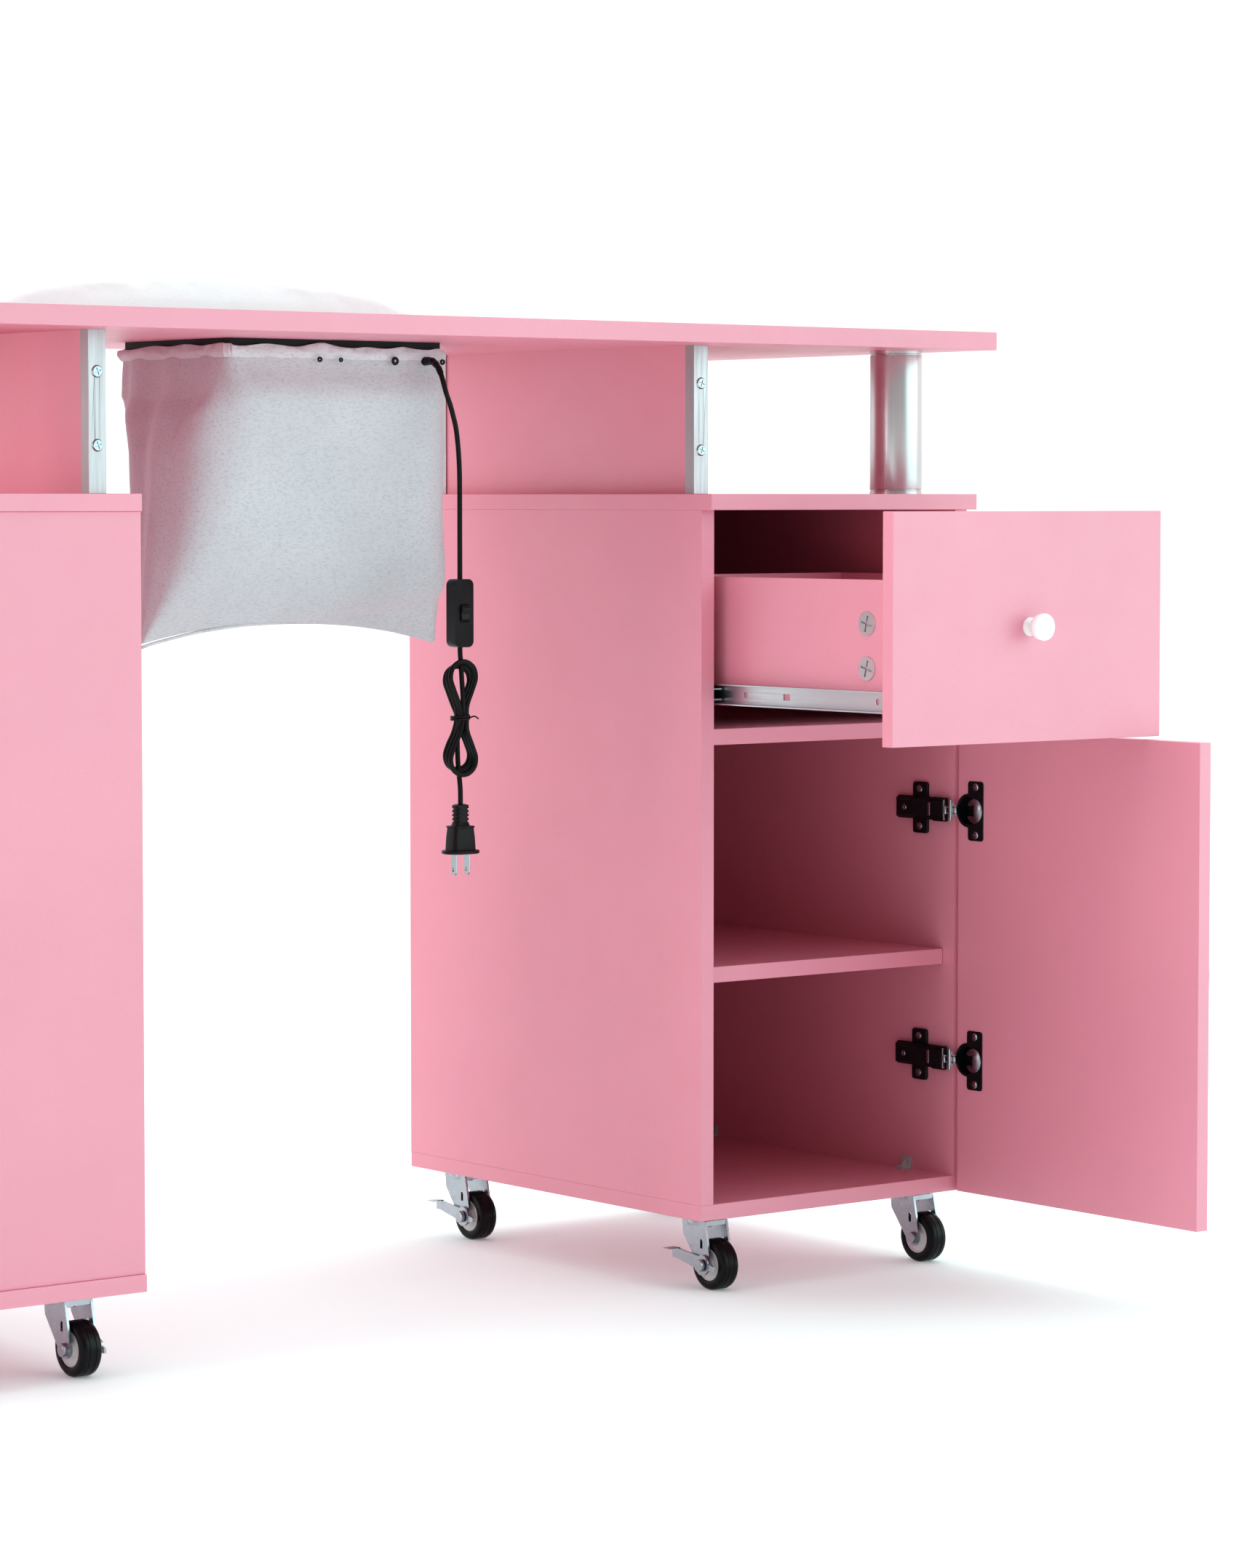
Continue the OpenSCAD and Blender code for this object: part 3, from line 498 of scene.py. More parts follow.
def hank_route():
    """From the switch down through the tie, three turns of the pinched loops, and out through the tie to the plug."""
    half = (HANK_TOP - HANK_LOW) / 2 - CORD_R
    pts = [(0, 0, SWITCH_LOW + 3), (0, 0, SWITCH_LOW - 4), (0, -1, 517), (0, -2.5, 502), (0, -4, 488),
           (0, -4, HANK_WAIST)]
    for k, (wide, drop, y) in enumerate(((12.5, 0, -4), (12.2, 2.5, 0), (12.0, 4.0, 4))):
        h = half - drop
        down = [(-0.30, -0.28), (-0.72, -0.50), (-0.98, -0.70), (-0.86, -0.87), (-0.46, -0.97), (0, -1)]
        up = [(0.46, -0.97), (0.86, -0.87), (0.98, -0.70), (0.72, -0.50), (0.30, -0.22), (0.27, 0.0), (0.30, 0.22)]
        over = [(0.72, 0.50), (0.98, 0.70), (0.86, 0.87), (0.46, 0.97), (0, 1), (-0.46, 0.97), (-0.86, 0.87),
                (-0.98, 0.70), (-0.72, 0.50)]
        back = [(-0.30, 0.22), (-0.27, 0.0)]
        turn = down + up + over + (back if k < 2 else [(-0.36, 0.26)])
        pts += [(u * wide, y, HANK_WAIST + v * h) for u, v in turn]
    pts += [(0, 4, HANK_WAIST), (0, 4, 452), (0, 3, 436), (0, 1, 424), (0, 0, 415), (0, 0, RELIEF_TOP - 6)]
    return [(HANG_X + x, HANG_Y + y, z) for x, y, z in pts]


drop_line = smooth_line(ROUTE, 4)
cord_drop = curve_piece("mains_cord_upper", drop_line, CORD_R, M["cord"])
hank_line = smooth_line(hank_route(), 5)
cord_hank = curve_piece("mains_cord_lower", hank_line, CORD_R, M["cord"])


def tapered(name, line, radii, material, steps=24):
    """A tube along a line in mm whose radius changes from ring to ring."""
    verts = []
    for i, p in enumerate(line):
        d = (Vector(line[min(i + 1, len(line) - 1)]) - Vector(line[max(i - 1, 0)])).normalized()
        u = d.cross(Vector((1, 0.2, 0.1))).normalized()
        w = d.cross(u)
        for k in range(steps):
            a = 2 * math.pi * k / steps
            verts.append((Vector(p) + radii[i] * (math.cos(a) * u + math.sin(a) * w)) * MM)
    o = new_object(name, verts, tube_faces(len(line), steps, caps=True), [material])
    sharpen(o, 40)
    return o


boot_line = smooth_line([(70, -75, 757), (70, -79, 757)] + ROUTE[:6], 5)
count = len(boot_line)
boot_radii = [3.7 - 1.3 * i / (count - 1) - (0.3 if (i // 3) % 2 and 6 < i < count - 4 else 0) for i in range(count)]
cord_boot = tapered("cord_boot", boot_line, boot_radii, M["switch"])
piece(cord_boot, "table", "switch", "cord_gland")


def tie_ring():
    """Twist tie round the middle of the hank, with its two twisted ends."""
    line = []
    for k in range(2 * TIE_STEPS + 1):
        a = 2 * math.pi * k / TIE_STEPS
        line.append((HANG_X + 7.0 * math.cos(a), HANG_Y + 7.4 * math.sin(a),
                     HANK_WAIST - 2 + 4 * k / (2 * TIE_STEPS)))
    ring = curve_piece("hank_tie", line, 1.0, M["cord"], 4)
    ends = []
    for s in (-1, 1):
        ends.append([(HANG_X + s * 4, HANG_Y - 6, HANK_WAIST), (HANG_X + s * 8, HANG_Y - 8, HANK_WAIST + 1.5),
                     (HANG_X + s * 12, HANG_Y - 8.2, HANK_WAIST - 0.5 * s)])
    for e in ends:
        add_line(ring.data, smooth_line(e, 6), 0.6)
    return ring


hank_tie = tie_ring()
piece(hank_tie, "table", "cord")


def plug_parts():
    """Ribbed relief, faceted body, flange, and the two blades."""
    def ring(w, d, z, r):
        return [(HANG_X + x, HANG_Y + y, z) for x, y in rounded(w, d, r, 5)]
    levels = [(8.0, 6.0, RELIEF_TOP, 2.4), (12.6, 8.6, RELIEF_TOP - 0.8, 2.6)]
    z = RELIEF_TOP - 3.2
    for k in range(4):
        levels += [(12.6, 8.8, z, 2.6), (10.0, 8.8, z - 0.25, 2.4), (10.0, 8.8, z - 1.35, 2.4),
                   (12.6, 8.8, z - 1.6, 2.6)]
        z -= 3.2
    levels += [(12.8, 9.2, PLUG_TOP + 1.0, 2.6), (14, 10, PLUG_TOP, 2.6), (19.4, 14.0, PLUG_TOP - 0.4, 2.2),
               (20.0, 14.4, PLUG_TOP - 1.6, 2.4),
               (18.6, 13.6, PLUG_TOP - 2.2, 2.4), (20.4, 14.6, PLUG_TOP - 10, 2.6), (21.4, 15.6, FLANGE_TOP + 1, 3.0),
               (22.0, 16.4, FLANGE_TOP + 0.2, 4.0),
               (30.8, 23.0, FLANGE_TOP - 0.3, 11.0), (32.0, 24.0, FLANGE_TOP - 1.2, 11.8),
               (31.6, 23.6, BLADE_TOP + 0.4, 11.6), (30.4, 22.4, BLADE_TOP, 11.0)]
    rings = [ring(*q) for q in levels]
    verts = [Vector(p) * MM for r in rings for p in r]
    body = new_object("plug_moulding", verts, tube_faces(len(rings), len(rings[0]), caps=True), [M["plug"]])
    sharpen(body, 30)
    blades = []
    for s in (-1, 1):
        x0 = HANG_X + s * 6.35 - 0.75
        outline = [(-3.2, 1.0), (3.2, 1.0), (3.2, -BLADE_LEN + 1.6), (1.8, -BLADE_LEN), (-1.8, -BLADE_LEN),
                   (-3.2, -BLADE_LEN + 1.6)]
        b = extrude("blade", outline, 1.5, frame_matrix((x0, HANG_Y, BLADE_TOP), (0, 1, 0), (0, 0, 1)), [M["screw"]],
                    0)
        hole = lathe("hole", [(0, -1), (1.55, -1), (1.55, 2.5), (0, 2.5)], (x0, HANG_Y, BLADE_TOP - BLADE_LEN + 4.4),
                     "X", 24, [M["screw"]])
        blades.append(cut_away(b, hole))
    return body, bevel(join("plug_blades", blades), 0.2, 2)


plug_body, plug_blades = plug_parts()
piece(plug_body, "table", "plug", "plug")
piece(plug_blades, "table", "screw")
for node, key in (("switch_body", "switch"), ("switch_rocker", "switch")):
    bevel(NODES[node], 1.4 if node == "switch_body" else 0.5, 3, 40, True)
piece(cord_drop, "table", "cord", "cord_drop")
piece(cord_hank, "table", "cord", "cord_hank", "cord_tail")


# ---------- materials and softened edges of the CAD nodes ----------

NODE_LOOK = {
    "pink": (["desktop", "riser_panels", "cabinet_tops", "cabinet_bottoms", "right_side_panels", "right_back_panel",
              "right_divider", "right_shelf", "left_upright_panels", "left_shelves", "drawer_front", "drawer_box",
              "door_panel"], 0.5),
    "white_board": (["drawer_bottom"], 0.2),
    "steel_grille": (["vent_grille"], 0.25),
    "black": (["fan_housing"], 0.5),
    "blade": (["fan_rotor"], 0.3),
    "channel": (["riser_channels"], 0.25),
    "screw": (["channel_screws", "shelf_pins"], 0.12),
    "clear": (["corner_brackets"], 0.4),
    "slide": (["slide_runners", "slide_ball_cages", "drawer_channels"], 0.2),
    "chrome": (["drawer_cams"], 0.25),
    "switch": (["switch_body", "switch_rocker"], 0),
    "zinc": (["caster_plates"] + [n for n in NODES if n.startswith(("fork_", "brake_"))], 0.35),
}
for key, (names, width) in NODE_LOOK.items():
    for n in names:
        o = NODES[n]
        o.data.materials.clear()
        o.data.materials.append(M[key])
        if width:
            bevel(o, width, 2, 35, True)
for p in NODES["support_posts"].data.polygons:
    p.use_smooth = True


# ---------- chrome posts ----------

POST_X, POST_YS, TOP_Z = 513.0, (-143.0, 169.0), 652.0
POST_PROFILE = [(0, 0), (22, 0), (22, 2.4), (21.3, 2.9), (21.3, 3.5), (21.9, 4.0), (22, 4.4), (22, 115.6),
                (21.9, 116.0), (21.3, 116.5), (21.3, 117.1), (22, 117.6), (22, 120), (0, 120)]
posts = [lathe("post", POST_PROFILE, (s * POST_X, y, TOP_Z), "Z", 96, [M["chrome"]])
         for s in (-1, 1) for y in POST_YS]
piece(join("chrome_posts", posts), "table", "chrome", "support_posts")


# ---------- knobs ----------

KNOB = [(0, 0), (7.5, 0), (7.5, 1.4), (7.1, 1.9), (5.4, 3.2), (5.1, 4.2), (5.1, 8.2), (5.4, 9.1), (8.8, 10.8),
        (10.2, 12.0), (10.8, 13.4), (10.8, 16.6), (10.5, 17.6), (9.7, 18.3), (8.6, 18.6), (8.3, 18.9), (8.3, 19.3),
        (7.9, 20.4), (6.6, 21.3), (4.4, 21.9), (2.0, 22.0), (0, 22.0)]


def knob(name, at, axis, body, node):
    o = lathe(name, KNOB, at, axis, 72, [M["knob"]], smooth_angle=50)
    piece(o, body, "knob", node)


drawer_lo, drawer_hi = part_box("drawer_front")
knob("drawer_pull", ((drawer_lo.x + drawer_hi.x) / 2 / MM, drawer_lo.y / MM, (drawer_lo.z + drawer_hi.z) / 2 / MM),
     "-Y", "drawer", "drawer_knob")
knob_lo, knob_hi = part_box("door_knob")
knob("door_pull", (knob_lo.x / MM, (knob_lo.y + knob_hi.y) / 2 / MM, (knob_lo.z + knob_hi.z) / 2 / MM), "X", "door",
     "door_knob")


# ---------- casters ----------

CASTERS = {"rf_knee": (305, -144, -1), "rf_end": (534, -144, 0), "rb_knee": (305, 187, -1), "rb_end": (534, 187, 0),
           "lf_knee": (-305, -144, 1), "lf_end": (-534, -144, 0), "lb_knee": (-305, 187, 1), "lb_end": (-534, 187, 0)}
AXLE_Z, TRAIL = 21.0, 14.0
NUT_R, NUT_T = 4.1, 1.6
AXLE_REACH, BRAKE_SIDE_REACH = 15.6, 19.0
WHEEL_HALF = [(3.06, 8.75), (5.6, 8.75), (6.2, 8.4), (6.6, 7.0), (7.4, 6.6), (11.4, 6.6), (12.4, 7.0), (13.0, 7.6),
              (13.4, 7.9), (13.6, 8.3), (14.4, 8.7), (17.6, 8.75), (19.2, 8.3), (20.4, 7.2), (21.0, 5.6), (21.0, 3.4),
              (20.55, 3.0), (20.55, 2.5), (21.0, 2.1)]
WHEEL_PROFILE = ([(r, -h) for r, h in WHEEL_HALF] + [(21.0, 0)] + [(r, h) for r, h in reversed(WHEEL_HALF)]
                 + [(3.06, -8.75)])
HUB_STRETCHES = 8
HUB_BANDS = ([1] * HUB_STRETCHES + [0] * (len(WHEEL_PROFILE) - 2 * HUB_STRETCHES - 2) + [1] * (HUB_STRETCHES + 1))
for k, (x, y, brake) in CASTERS.items():
    w = lathe("tyre_" + k, WHEEL_PROFILE, (x, y - TRAIL, AXLE_Z), "X", 96, [M["tyre"], M["hub"]], HUB_BANDS, 40)
    piece(w, "roller_" + k, "tyre", "wheel_" + k)
    nuts = []
    for s in (-1, 1):
        reach = BRAKE_SIDE_REACH if brake == s else AXLE_REACH
        hexagon = [(NUT_R * math.cos(math.radians(60 * i)), NUT_R * math.sin(math.radians(60 * i))) for i in range(6)]
        nuts.append(extrude("nut", hexagon, NUT_T,
                            frame_matrix((x + s * (reach - 1.8), y - TRAIL, AXLE_Z), (0, 1, 0), (0, 0, s)),
                            [M["screw"]], 0.25))
    piece(join("axle_nuts_" + k, nuts), "caster_" + k, "screw")


# ---------- hinge cups, links and screws ----------

HINGE = (547.5, -196.0)
HINGE_Z = (176.0, 386.5)
WALL = 540.0
CUP_Y, CUP_FACE = HINGE[1] - 9.5, HINGE[0] - 7.0
WING_Y = CUP_Y - 9
NOTCH_Y, NOTCH_HALF = WING_Y - 0.8, 4.6
PAN_HEAD = [(0, 0.55), (0.8, 0.6), (1.0, 1.45), (2.6, 1.4), (3.3, 0.9), (3.4, 0)]


def slab(name, outline, z, x_back, x_front, mats, bev=0.35):
    """A plate parallel to the cabinet's wall: an outline of (y, height) pairs about height z, between two depths."""
    return extrude(name, [(-y, h) for y, h in outline], x_back - x_front,
                   frame_matrix((x_back, 0, z), (0, -1, 0), (0, 0, 1)), mats, bev)


def box_outline(y0, y1, h, r=1.0):
    """Rounded rectangle from y0 to y1 and from -h to h."""
    return [((y0 + y1) / 2 + x, z) for x, z in rounded(abs(y1 - y0), 2 * h, r, 4)]


def hinge_arm(z):
    """Mounting plate, arm with its raised spine, and the links that reach into the cup."""
    black = [
        slab("plate", box_outline(-157, -139, 21.8, 2.5), z, WALL, 537.2, [M["hinge"]], 0.5),
        slab("rail", box_outline(-176, -122, 9.6, 1.5), z, 538.5, 535.0, [M["hinge"]], 0.4),
        slab("arm", [(-123, -8.3), (-123, 8.3), (-166, 8.6), (-170, 10.2), (-185.2, 10.2), (-185.2, -10.2),
                     (-170, -10.2), (-166, -8.6)], z, 536.0, 532.4, [M["hinge"]], 0.8),
        slab("spine", box_outline(-184.6, -126, 6.9, 1.0), z, 533.0, 530.2, [M["hinge"]], 0.7),
    ]
    steel = [
        slab("slot", box_outline(-168.4, -165.8, 5.6, 0.5), z, 530.4, 529.9, [M["hinge_steel"]], 0.1),
        slab("lip", box_outline(-185.1, -184.0, 8.6, 0.3), z, 532.6, 530.8, [M["hinge_steel"]], 0.2),
        slab("link", [(-189.6, -7.6), (-189.6, 7.6), (-192.0, 7.9), (-196.4, 3.4), (-196.4, -3.4), (-192.0, -7.9)], z,
             534.2, 533.0, [M["hinge_steel"]], 0.25),
    ]
    for side in (-1, 1):
        steel.append(slab("cheek", box_outline(-197.6, -183.6, 0.4, 0.3), z + side * 2.6, 538.0, 532.0,
                          [M["hinge_steel"]], 0.1))
    steel.append(lathe("pin_a", [(0, -9), (0.9, -9), (1.25, -8.6), (1.25, 8.6), (0.9, 9), (0, 9)], (532.2, -192.2, z),
                       "Z", 20, [M["screw"]]))
    steel.append(lathe("pin_b", [(0, -3.7), (0.9, -3.7), (1.0, -3.4), (1.0, 3.4), (0.9, 3.7), (0, 3.7)],
                       (534.2, -196.6, z), "Z", 20, [M["screw"]]))
    steel.append(lathe("pin_c", [(0, -3.3), (1.0, -3.3), (1.1, -3.1), (1.1, 3.1), (1.0, 3.3), (0, 3.3)],
                       (531.4, -186.6, z), "Z", 20, [M["screw"]]))
    heads = [lathe("head", PAN_HEAD, (537.3, -148, z + s * 15.6), "-X", 32, [M["screw"]]) for s in (-1, 1)]
    heads.append(lathe("adjuster", [(0, 0.1), (0.7, 0.1), (0.9, 0.5), (2.2, 0.5), (2.6, 0.2), (2.6, -1)],
                       (530.2, -136, z), "-X", 28, [M["screw"]]))
    return black, steel, heads


def hinge_cup(z):
    """Wing plate, round flange, sunk bowl and the domed bridge over the bowl, open where the links enter."""
    wing = [slab("wing", box_outline(WING_Y - 9.6, WING_Y + 9.0, 25.0, 2.6), z, CUP_FACE, CUP_FACE - 0.9,
                 [M["hinge"]], 0)]
    flange = [(CUP_Y + 14.2 * math.cos(math.radians(a)), 14.2 * math.sin(math.radians(a)))
              for a in range(-116, 117, 8)]
    wing.append(slab("flange", flange, z, CUP_FACE, CUP_FACE - 0.7, [M["hinge"]], 0))
    for w in wing:
        cut_away(w, lathe("bore", [(0, -3), (11.7, -3), (11.7, 3), (0, 3)], (CUP_FACE, CUP_Y, z), "X", 48,
                          [M["hinge"]]))
        bevel(w, 0.25)
    bowl = [lathe("bowl", [(12.3, 0.0), (11.7, 0.3), (11.5, -8.0), (10.6, -9.6), (0, -9.9), (0, -10.3), (11.2, -10.3),
                           (12.3, -9.0), (12.3, 0.0)],
                  (CUP_FACE, CUP_Y, z), "-X", 64, [M["hinge"]])]
    rows, cols = 20, 72
    flat = [(WING_Y + 1.2, 0.0, 0.0)]
    for j in range(1, rows + 1):
        for i in range(cols):
            a = 2 * math.pi * i / cols
            y, h = WING_Y + 1.2 + 9.4 * j / rows * math.cos(a), 10.2 * j / rows * math.sin(a)
            if y > NOTCH_Y and abs(abs(h) - NOTCH_HALF) < 0.5:
                h = math.copysign(NOTCH_HALF, h)
            flat.append((y, h, j / rows))
    verts = [mm(CUP_FACE - 0.5 - 2.6 * (1 - t ** 2.4), y, z + h) for y, h, t in flat]

    def ring(j, i):
        return 1 + (j - 1) * cols + i % cols
    faces = [(0, ring(1, i), ring(1, i + 1)) for i in range(cols)]
    faces += [(ring(j, i), ring(j + 1, i), ring(j + 1, i + 1), ring(j, i + 1)) for j in range(1, rows)
              for i in range(cols)]

    def in_notch(face):
        y, h = (sum(flat[k][c] for k in face) / len(face) for c in (0, 1))
        return y > NOTCH_Y and abs(h) < NOTCH_HALF
    dome = new_object("dome", verts, [f for f in faces if not in_notch(f)], [M["hinge_grey"]])
    thicken(dome, 0.9, 0)
    heads = [lathe("head", PAN_HEAD, (CUP_FACE - 0.8, WING_Y - 1.0, z + s * 20.2), "-X", 32, [M["screw"]])
             for s in (-1, 1)]
    return wing + bowl, [dome], heads


arms = [hinge_arm(z) for z in HINGE_Z]
cups = [hinge_cup(z) for z in HINGE_Z]
piece(join("hinge_arm_bodies", [o for a in arms for o in a[0]]), "table", "hinge", "hinge_arms")
piece(join("hinge_links", [o for a in arms for o in a[1]]), "table", "hinge_steel")
piece(join("hinge_plate_screws", [o for a in arms for o in a[2]]), "table", "screw")
piece(join("hinge_wings", [o for c in cups for o in c[0]]), "door", "hinge", "hinge_cups")
piece(join("hinge_domes", [o for c in cups for o in c[1]]), "door", "hinge_grey")
piece(join("hinge_wing_screws", [o for c in cups for o in c[2]]), "door", "screw")


# ---------- dust bag ----------

BAG_X, VENT_X = -6.0, -12.0
BAG_TOP, BAG_LOW = 764.0, 533.0
ARCH = 17.0
HEM_DROP = 7.0
HEM_CEILING = 770.6
EYELETS = [(-34, 1.7), (-14, 1.4), (38, 2.6), (84, 1.8)]  # place along the hem and radius of each
EYELET_Y, EYELET_Z = -83.6, 756.5


def lerp(table, v):
    """Smooth value at v through a table of (v, value) rows, with no overshoot."""
    n = len(table)
    slopes = [(table[i + 1][1] - table[i][1]) / (table[i + 1][0] - table[i][0]) for i in range(n - 1)]
    ends = [slopes[0]] + [0 if a * b <= 0 else 2 * a * b / (a + b) for a, b in zip(slopes, slopes[1:])] + [slopes[-1]]
    i = next((k for k in range(n - 1) if v <= table[k + 1][0]), n - 2)
    h = table[i + 1][0] - table[i][0]
    t = min(1.0, (v - table[i][0]) / h)
    return (table[i][1] * (1 + 2 * t) * (1 - t) ** 2 + ends[i] * h * t * (1 - t) ** 2
            + table[i + 1][1] * t * t * (3 - 2 * t) + ends[i + 1] * h * t * t * (t - 1))


HALF_W = [(0.0, 102.5), (0.08, 105), (0.15, 107), (0.24, 118), (0.36, 129), (0.5, 132), (0.7, 136), (1.0, 141)]
HALF_D = [(0.0, 77.5), (0.15, 77.5), (0.24, 72), (0.36, 64), (0.50, 56), (0.70, 42), (0.85, 24), (0.94, 10),
          (1.0, 2.0)]
PUFF = [(0.0, 0.0), (0.06, 1.5), (0.15, 6.5), (0.24, 5.0), (0.40, 0.0), (1.0, 0.0)]
CORNER_BACK = [(0.0, 6.0), (0.15, 11), (0.25, 34), (0.36, 48), (0.5, 46), (0.7, 38), (1.0, 2.0)]
CORNER_FRONT = [(0.0, 6.0), (0.06, 11), (0.15, 22), (0.25, 42), (0.36, 50), (0.5, 48), (0.7, 38), (1.0, 2.0)]
CENTRE = [(0.0, VENT_X), (0.15, VENT_X), (0.36, BAG_X), (1.0, BAG_X)]
SIDE_COLS, ARC_COLS, FRONT_COLS = 14, 10, 26
QUARTER = SIDE_COLS + ARC_COLS + FRONT_COLS
BAG_COLS = 4 * QUARTER
MOUTH_ROWS, SEAM_ROWS = 4, 2  # rows that the cloth simulation holds in place


def section(k, w, d, r):
    """Point k of the rounded rectangle's quarter between the middle of its +x side and the middle of its +y side."""
    r = min(r, w, d)
    if k < SIDE_COLS:
        return w, (d - r) * k / SIDE_COLS
    if k < SIDE_COLS + ARC_COLS:
        a = math.pi / 2 * (k - SIDE_COLS) / ARC_COLS
        return w - r + r * math.cos(a), d - r + r * math.sin(a)
    return (w - r) * (1 - (k - SIDE_COLS - ARC_COLS) / FRONT_COLS), d


def bag_point(col, v):
    """A point of the bag in mm, for a column round it (which may fall between two) and v down it from 0 to 1."""
    quarter, k = divmod(col % BAG_COLS, QUARTER)
    front = quarter in (2, 3)
    w, d = lerp(HALF_W, v), lerp(HALF_D, v) + (lerp(PUFF, v) if front else 0)
    r = lerp(CORNER_FRONT if front else CORNER_BACK, v)
    if quarter in (1, 3):
        k = QUARTER - k
    lo = int(k)
    (xa, ya), (xb, yb) = section(lo, w, d, r), section(min(lo + 1, QUARTER), w, d, r)
    px, py = xa + (xb - xa) * (k - lo), ya + (yb - ya) * (k - lo)
    px *= 1 if quarter in (0, 3) else -1
    py *= 1 if quarter in (0, 1) else -1
    x, y, u = px / w, py / d, col / BAG_COLS
    arch = ARCH * (1 - abs(x + 0.06) ** 2.2) * v ** 3
    z = BAG_TOP + (BAG_LOW - BAG_TOP) * v + arch
    left = max(0.0, -x) ** 4
    fold = 3.6 * math.sin(10 * y + 6 * x + 2.5 * v + 1.3) * left * math.exp(-1.3 * v)
    gather = 1.3 * noise.noise(Vector((u * 60, v * 5, 2.0))) * math.exp(-9 * v)
    soft = 3.2 * noise.noise(Vector((x * 0.9, y * 0.9 + 7, v * 1.7))) * math.sin(math.pi * min(1, v * 1.05))
    slant = v - 0.90 + 0.20 * (x - 0.45)
    crease = 7.5 * math.exp(-(slant / (0.16 if slant < 0 else 0.035)) ** 2) * max(0.0, min(1.0, (x + 0.1) * 2))
    press = 1 - math.exp(-18 * v)
    out = max((soft + fold) * press * (1 - v ** 5) + gather, -2.0 - 60 * max(0.0, v - 0.18))
    if v < 0.16:
        out = max(out, -0.6)
    return Vector((lerp(CENTRE, v) + px + x * out, py + y * out - (crease if y < 0 else 0), z))


def make_bag():
    """The bag's cloth, open at its mouth and closed along its bottom edge."""
    cols, rows = BAG_COLS, 84
    verts = [bag_point(i, j / rows) * MM for j in range(rows + 1) for i in range(cols)]
    faces = tube_faces(rows + 1, cols)
    last = rows * cols
    for i in range(cols // 2):  # closes the seam: front row to back row
        a, b = last + i, last + (i + 1) % cols
        c, d = last + (cols - 1 - i) % cols, last + (cols - i) % cols
        if len({a, b, c, d}) == 4:
            faces.append((a, b, c, d))
        elif len({a, b, c, d}) == 3:
            faces.append(tuple(dict.fromkeys((a, b, c, d))))
    return new_object("dust_bag_cloth", verts, faces, [M["cloth"]])


def simulate(o, pinned, frames, pressure, gravity, cap, bend=0.6):
    """Runs cloth on a mesh and keeps the result, no point moving further than cap mm."""
    before = [v.co.copy() for v in o.data.vertices]
    if pinned:
        g = o.vertex_groups.new(name="pin")
        g.add(pinned, 1.0, "REPLACE")
    c = o.modifiers.new("cloth", "CLOTH")
    s = c.settings
    s.quality = 6
    s.mass = 0.15
    s.tension_stiffness, s.compression_stiffness, s.shear_stiffness, s.bending_stiffness = 18, 18, 6, bend
    s.use_pressure = pressure > 0
    s.uniform_pressure_force = pressure
    s.effector_weights.gravity = gravity
    if pinned:
        s.vertex_group_mass = "pin"
    c.collision_settings.use_collision = False
    scene = bpy.context.scene
    scene.frame_start, scene.frame_end = 1, frames
    c.point_cache.frame_start, c.point_cache.frame_end = 1, frames
    for f in range(1, frames + 1):
        scene.frame_set(f)
    e = o.evaluated_get(bpy.context.evaluated_depsgraph_get())
    after = [v.co.copy() for v in e.to_mesh().vertices]
    e.to_mesh_clear()
    o.modifiers.remove(c)
    for v, a, b in zip(o.data.vertices, before, after):
        d = b - a
        if d.length > cap * MM:
            d *= cap * MM / d.length
        v.co = a + d
    scene.frame_set(1)
    return o


bag = make_bag()
total = len(bag.data.vertices)
pinned = [i for i in range(total) if i < MOUTH_ROWS * BAG_COLS or i >= total - SEAM_ROWS * BAG_COLS]
simulate(bag, pinned, frames=16, pressure=0.5, gravity=0.15, cap=5)
thicken(bag, 0.9, -1)
soften(bag)
piece(bag, "table", "cloth", "dust_bag")


def make_hem():
    """Gathered band round the mouth, with ruffled upper edge and a loose corner at the back left."""
    cols, rows = 2 * BAG_COLS, 9
    back_left = (QUARTER + FRONT_COLS + ARC_COLS / 2) / BAG_COLS
    verts = []
    for j in range(rows + 1):
        t = j / rows
        for i in range(cols):
            u = i / cols
            p = bag_point(i / 2, 0.0)
            out = Vector((p.x - VENT_X, p.y, 0)).normalized()
            ruffle = noise.noise(Vector((u * 46, 0.4, 5.1))) * 3.4 + noise.noise(Vector((u * 130, t * 2, 9.7))) * 1.5
            roll = math.sin(math.pi * t) * 2.0
            lift = noise.noise(Vector((u * 28, 3.3, 1.0))) * 4.0
            q = p + out * (1.4 + roll + ruffle * (0.25 + 0.75 * t))
            q.z = BAG_TOP - HEM_DROP + t * (10 + lift)
            corner = math.exp(-((u - back_left) / 0.012) ** 2) * t
            q += Vector((-3, 2, 0.5)) * corner
            q.z = min(q.z, HEM_CEILING)
            verts.append(q * MM)
    o = new_object("bag_hem", verts, tube_faces(rows + 1, cols), [M["hem"]])
    thicken(o, 0.8, 0)
    soften(o)
    return o


bag_hem = make_hem()
piece(bag_hem, "table", "hem")


def make_eyelets():
    """Small drawstring eyelets along the front of the hem, coloured near-black as painted shade of their holes."""
    profile = [(0.45, 0), (0.45, 1.0), (0.8, 1.5), (1.15, 1.2), (1.3, 0.4), (1.3, 0), (0.45, 0)]
    rings = []
    for x, r in EYELETS:
        rings.append(lathe("eyelet", [(r * share, h) for share, h in profile], (x, EYELET_Y, EYELET_Z), "-Y", 24,
                           [M["cavity"]]))
    return join("bag_eyelets", rings)


eyelets = make_eyelets()
piece(eyelets, "table", "cavity")


def seam_line():
    """Sewn seam along the bottom edge of the bag."""
    pts = []
    for k in range(61):
        x = -1 + 2 * k / 60
        z = BAG_LOW + ARCH * (1 - abs(x) ** 2.2) - 0.8
        pts.append((BAG_X + x * 139.5, 0.6 * math.sin(k * 0.7), z))
    return curve_piece("bag_seam", pts, 1.3, M["hem"], 3)


bag_seam = seam_line()
piece(bag_seam, "table", "hem")


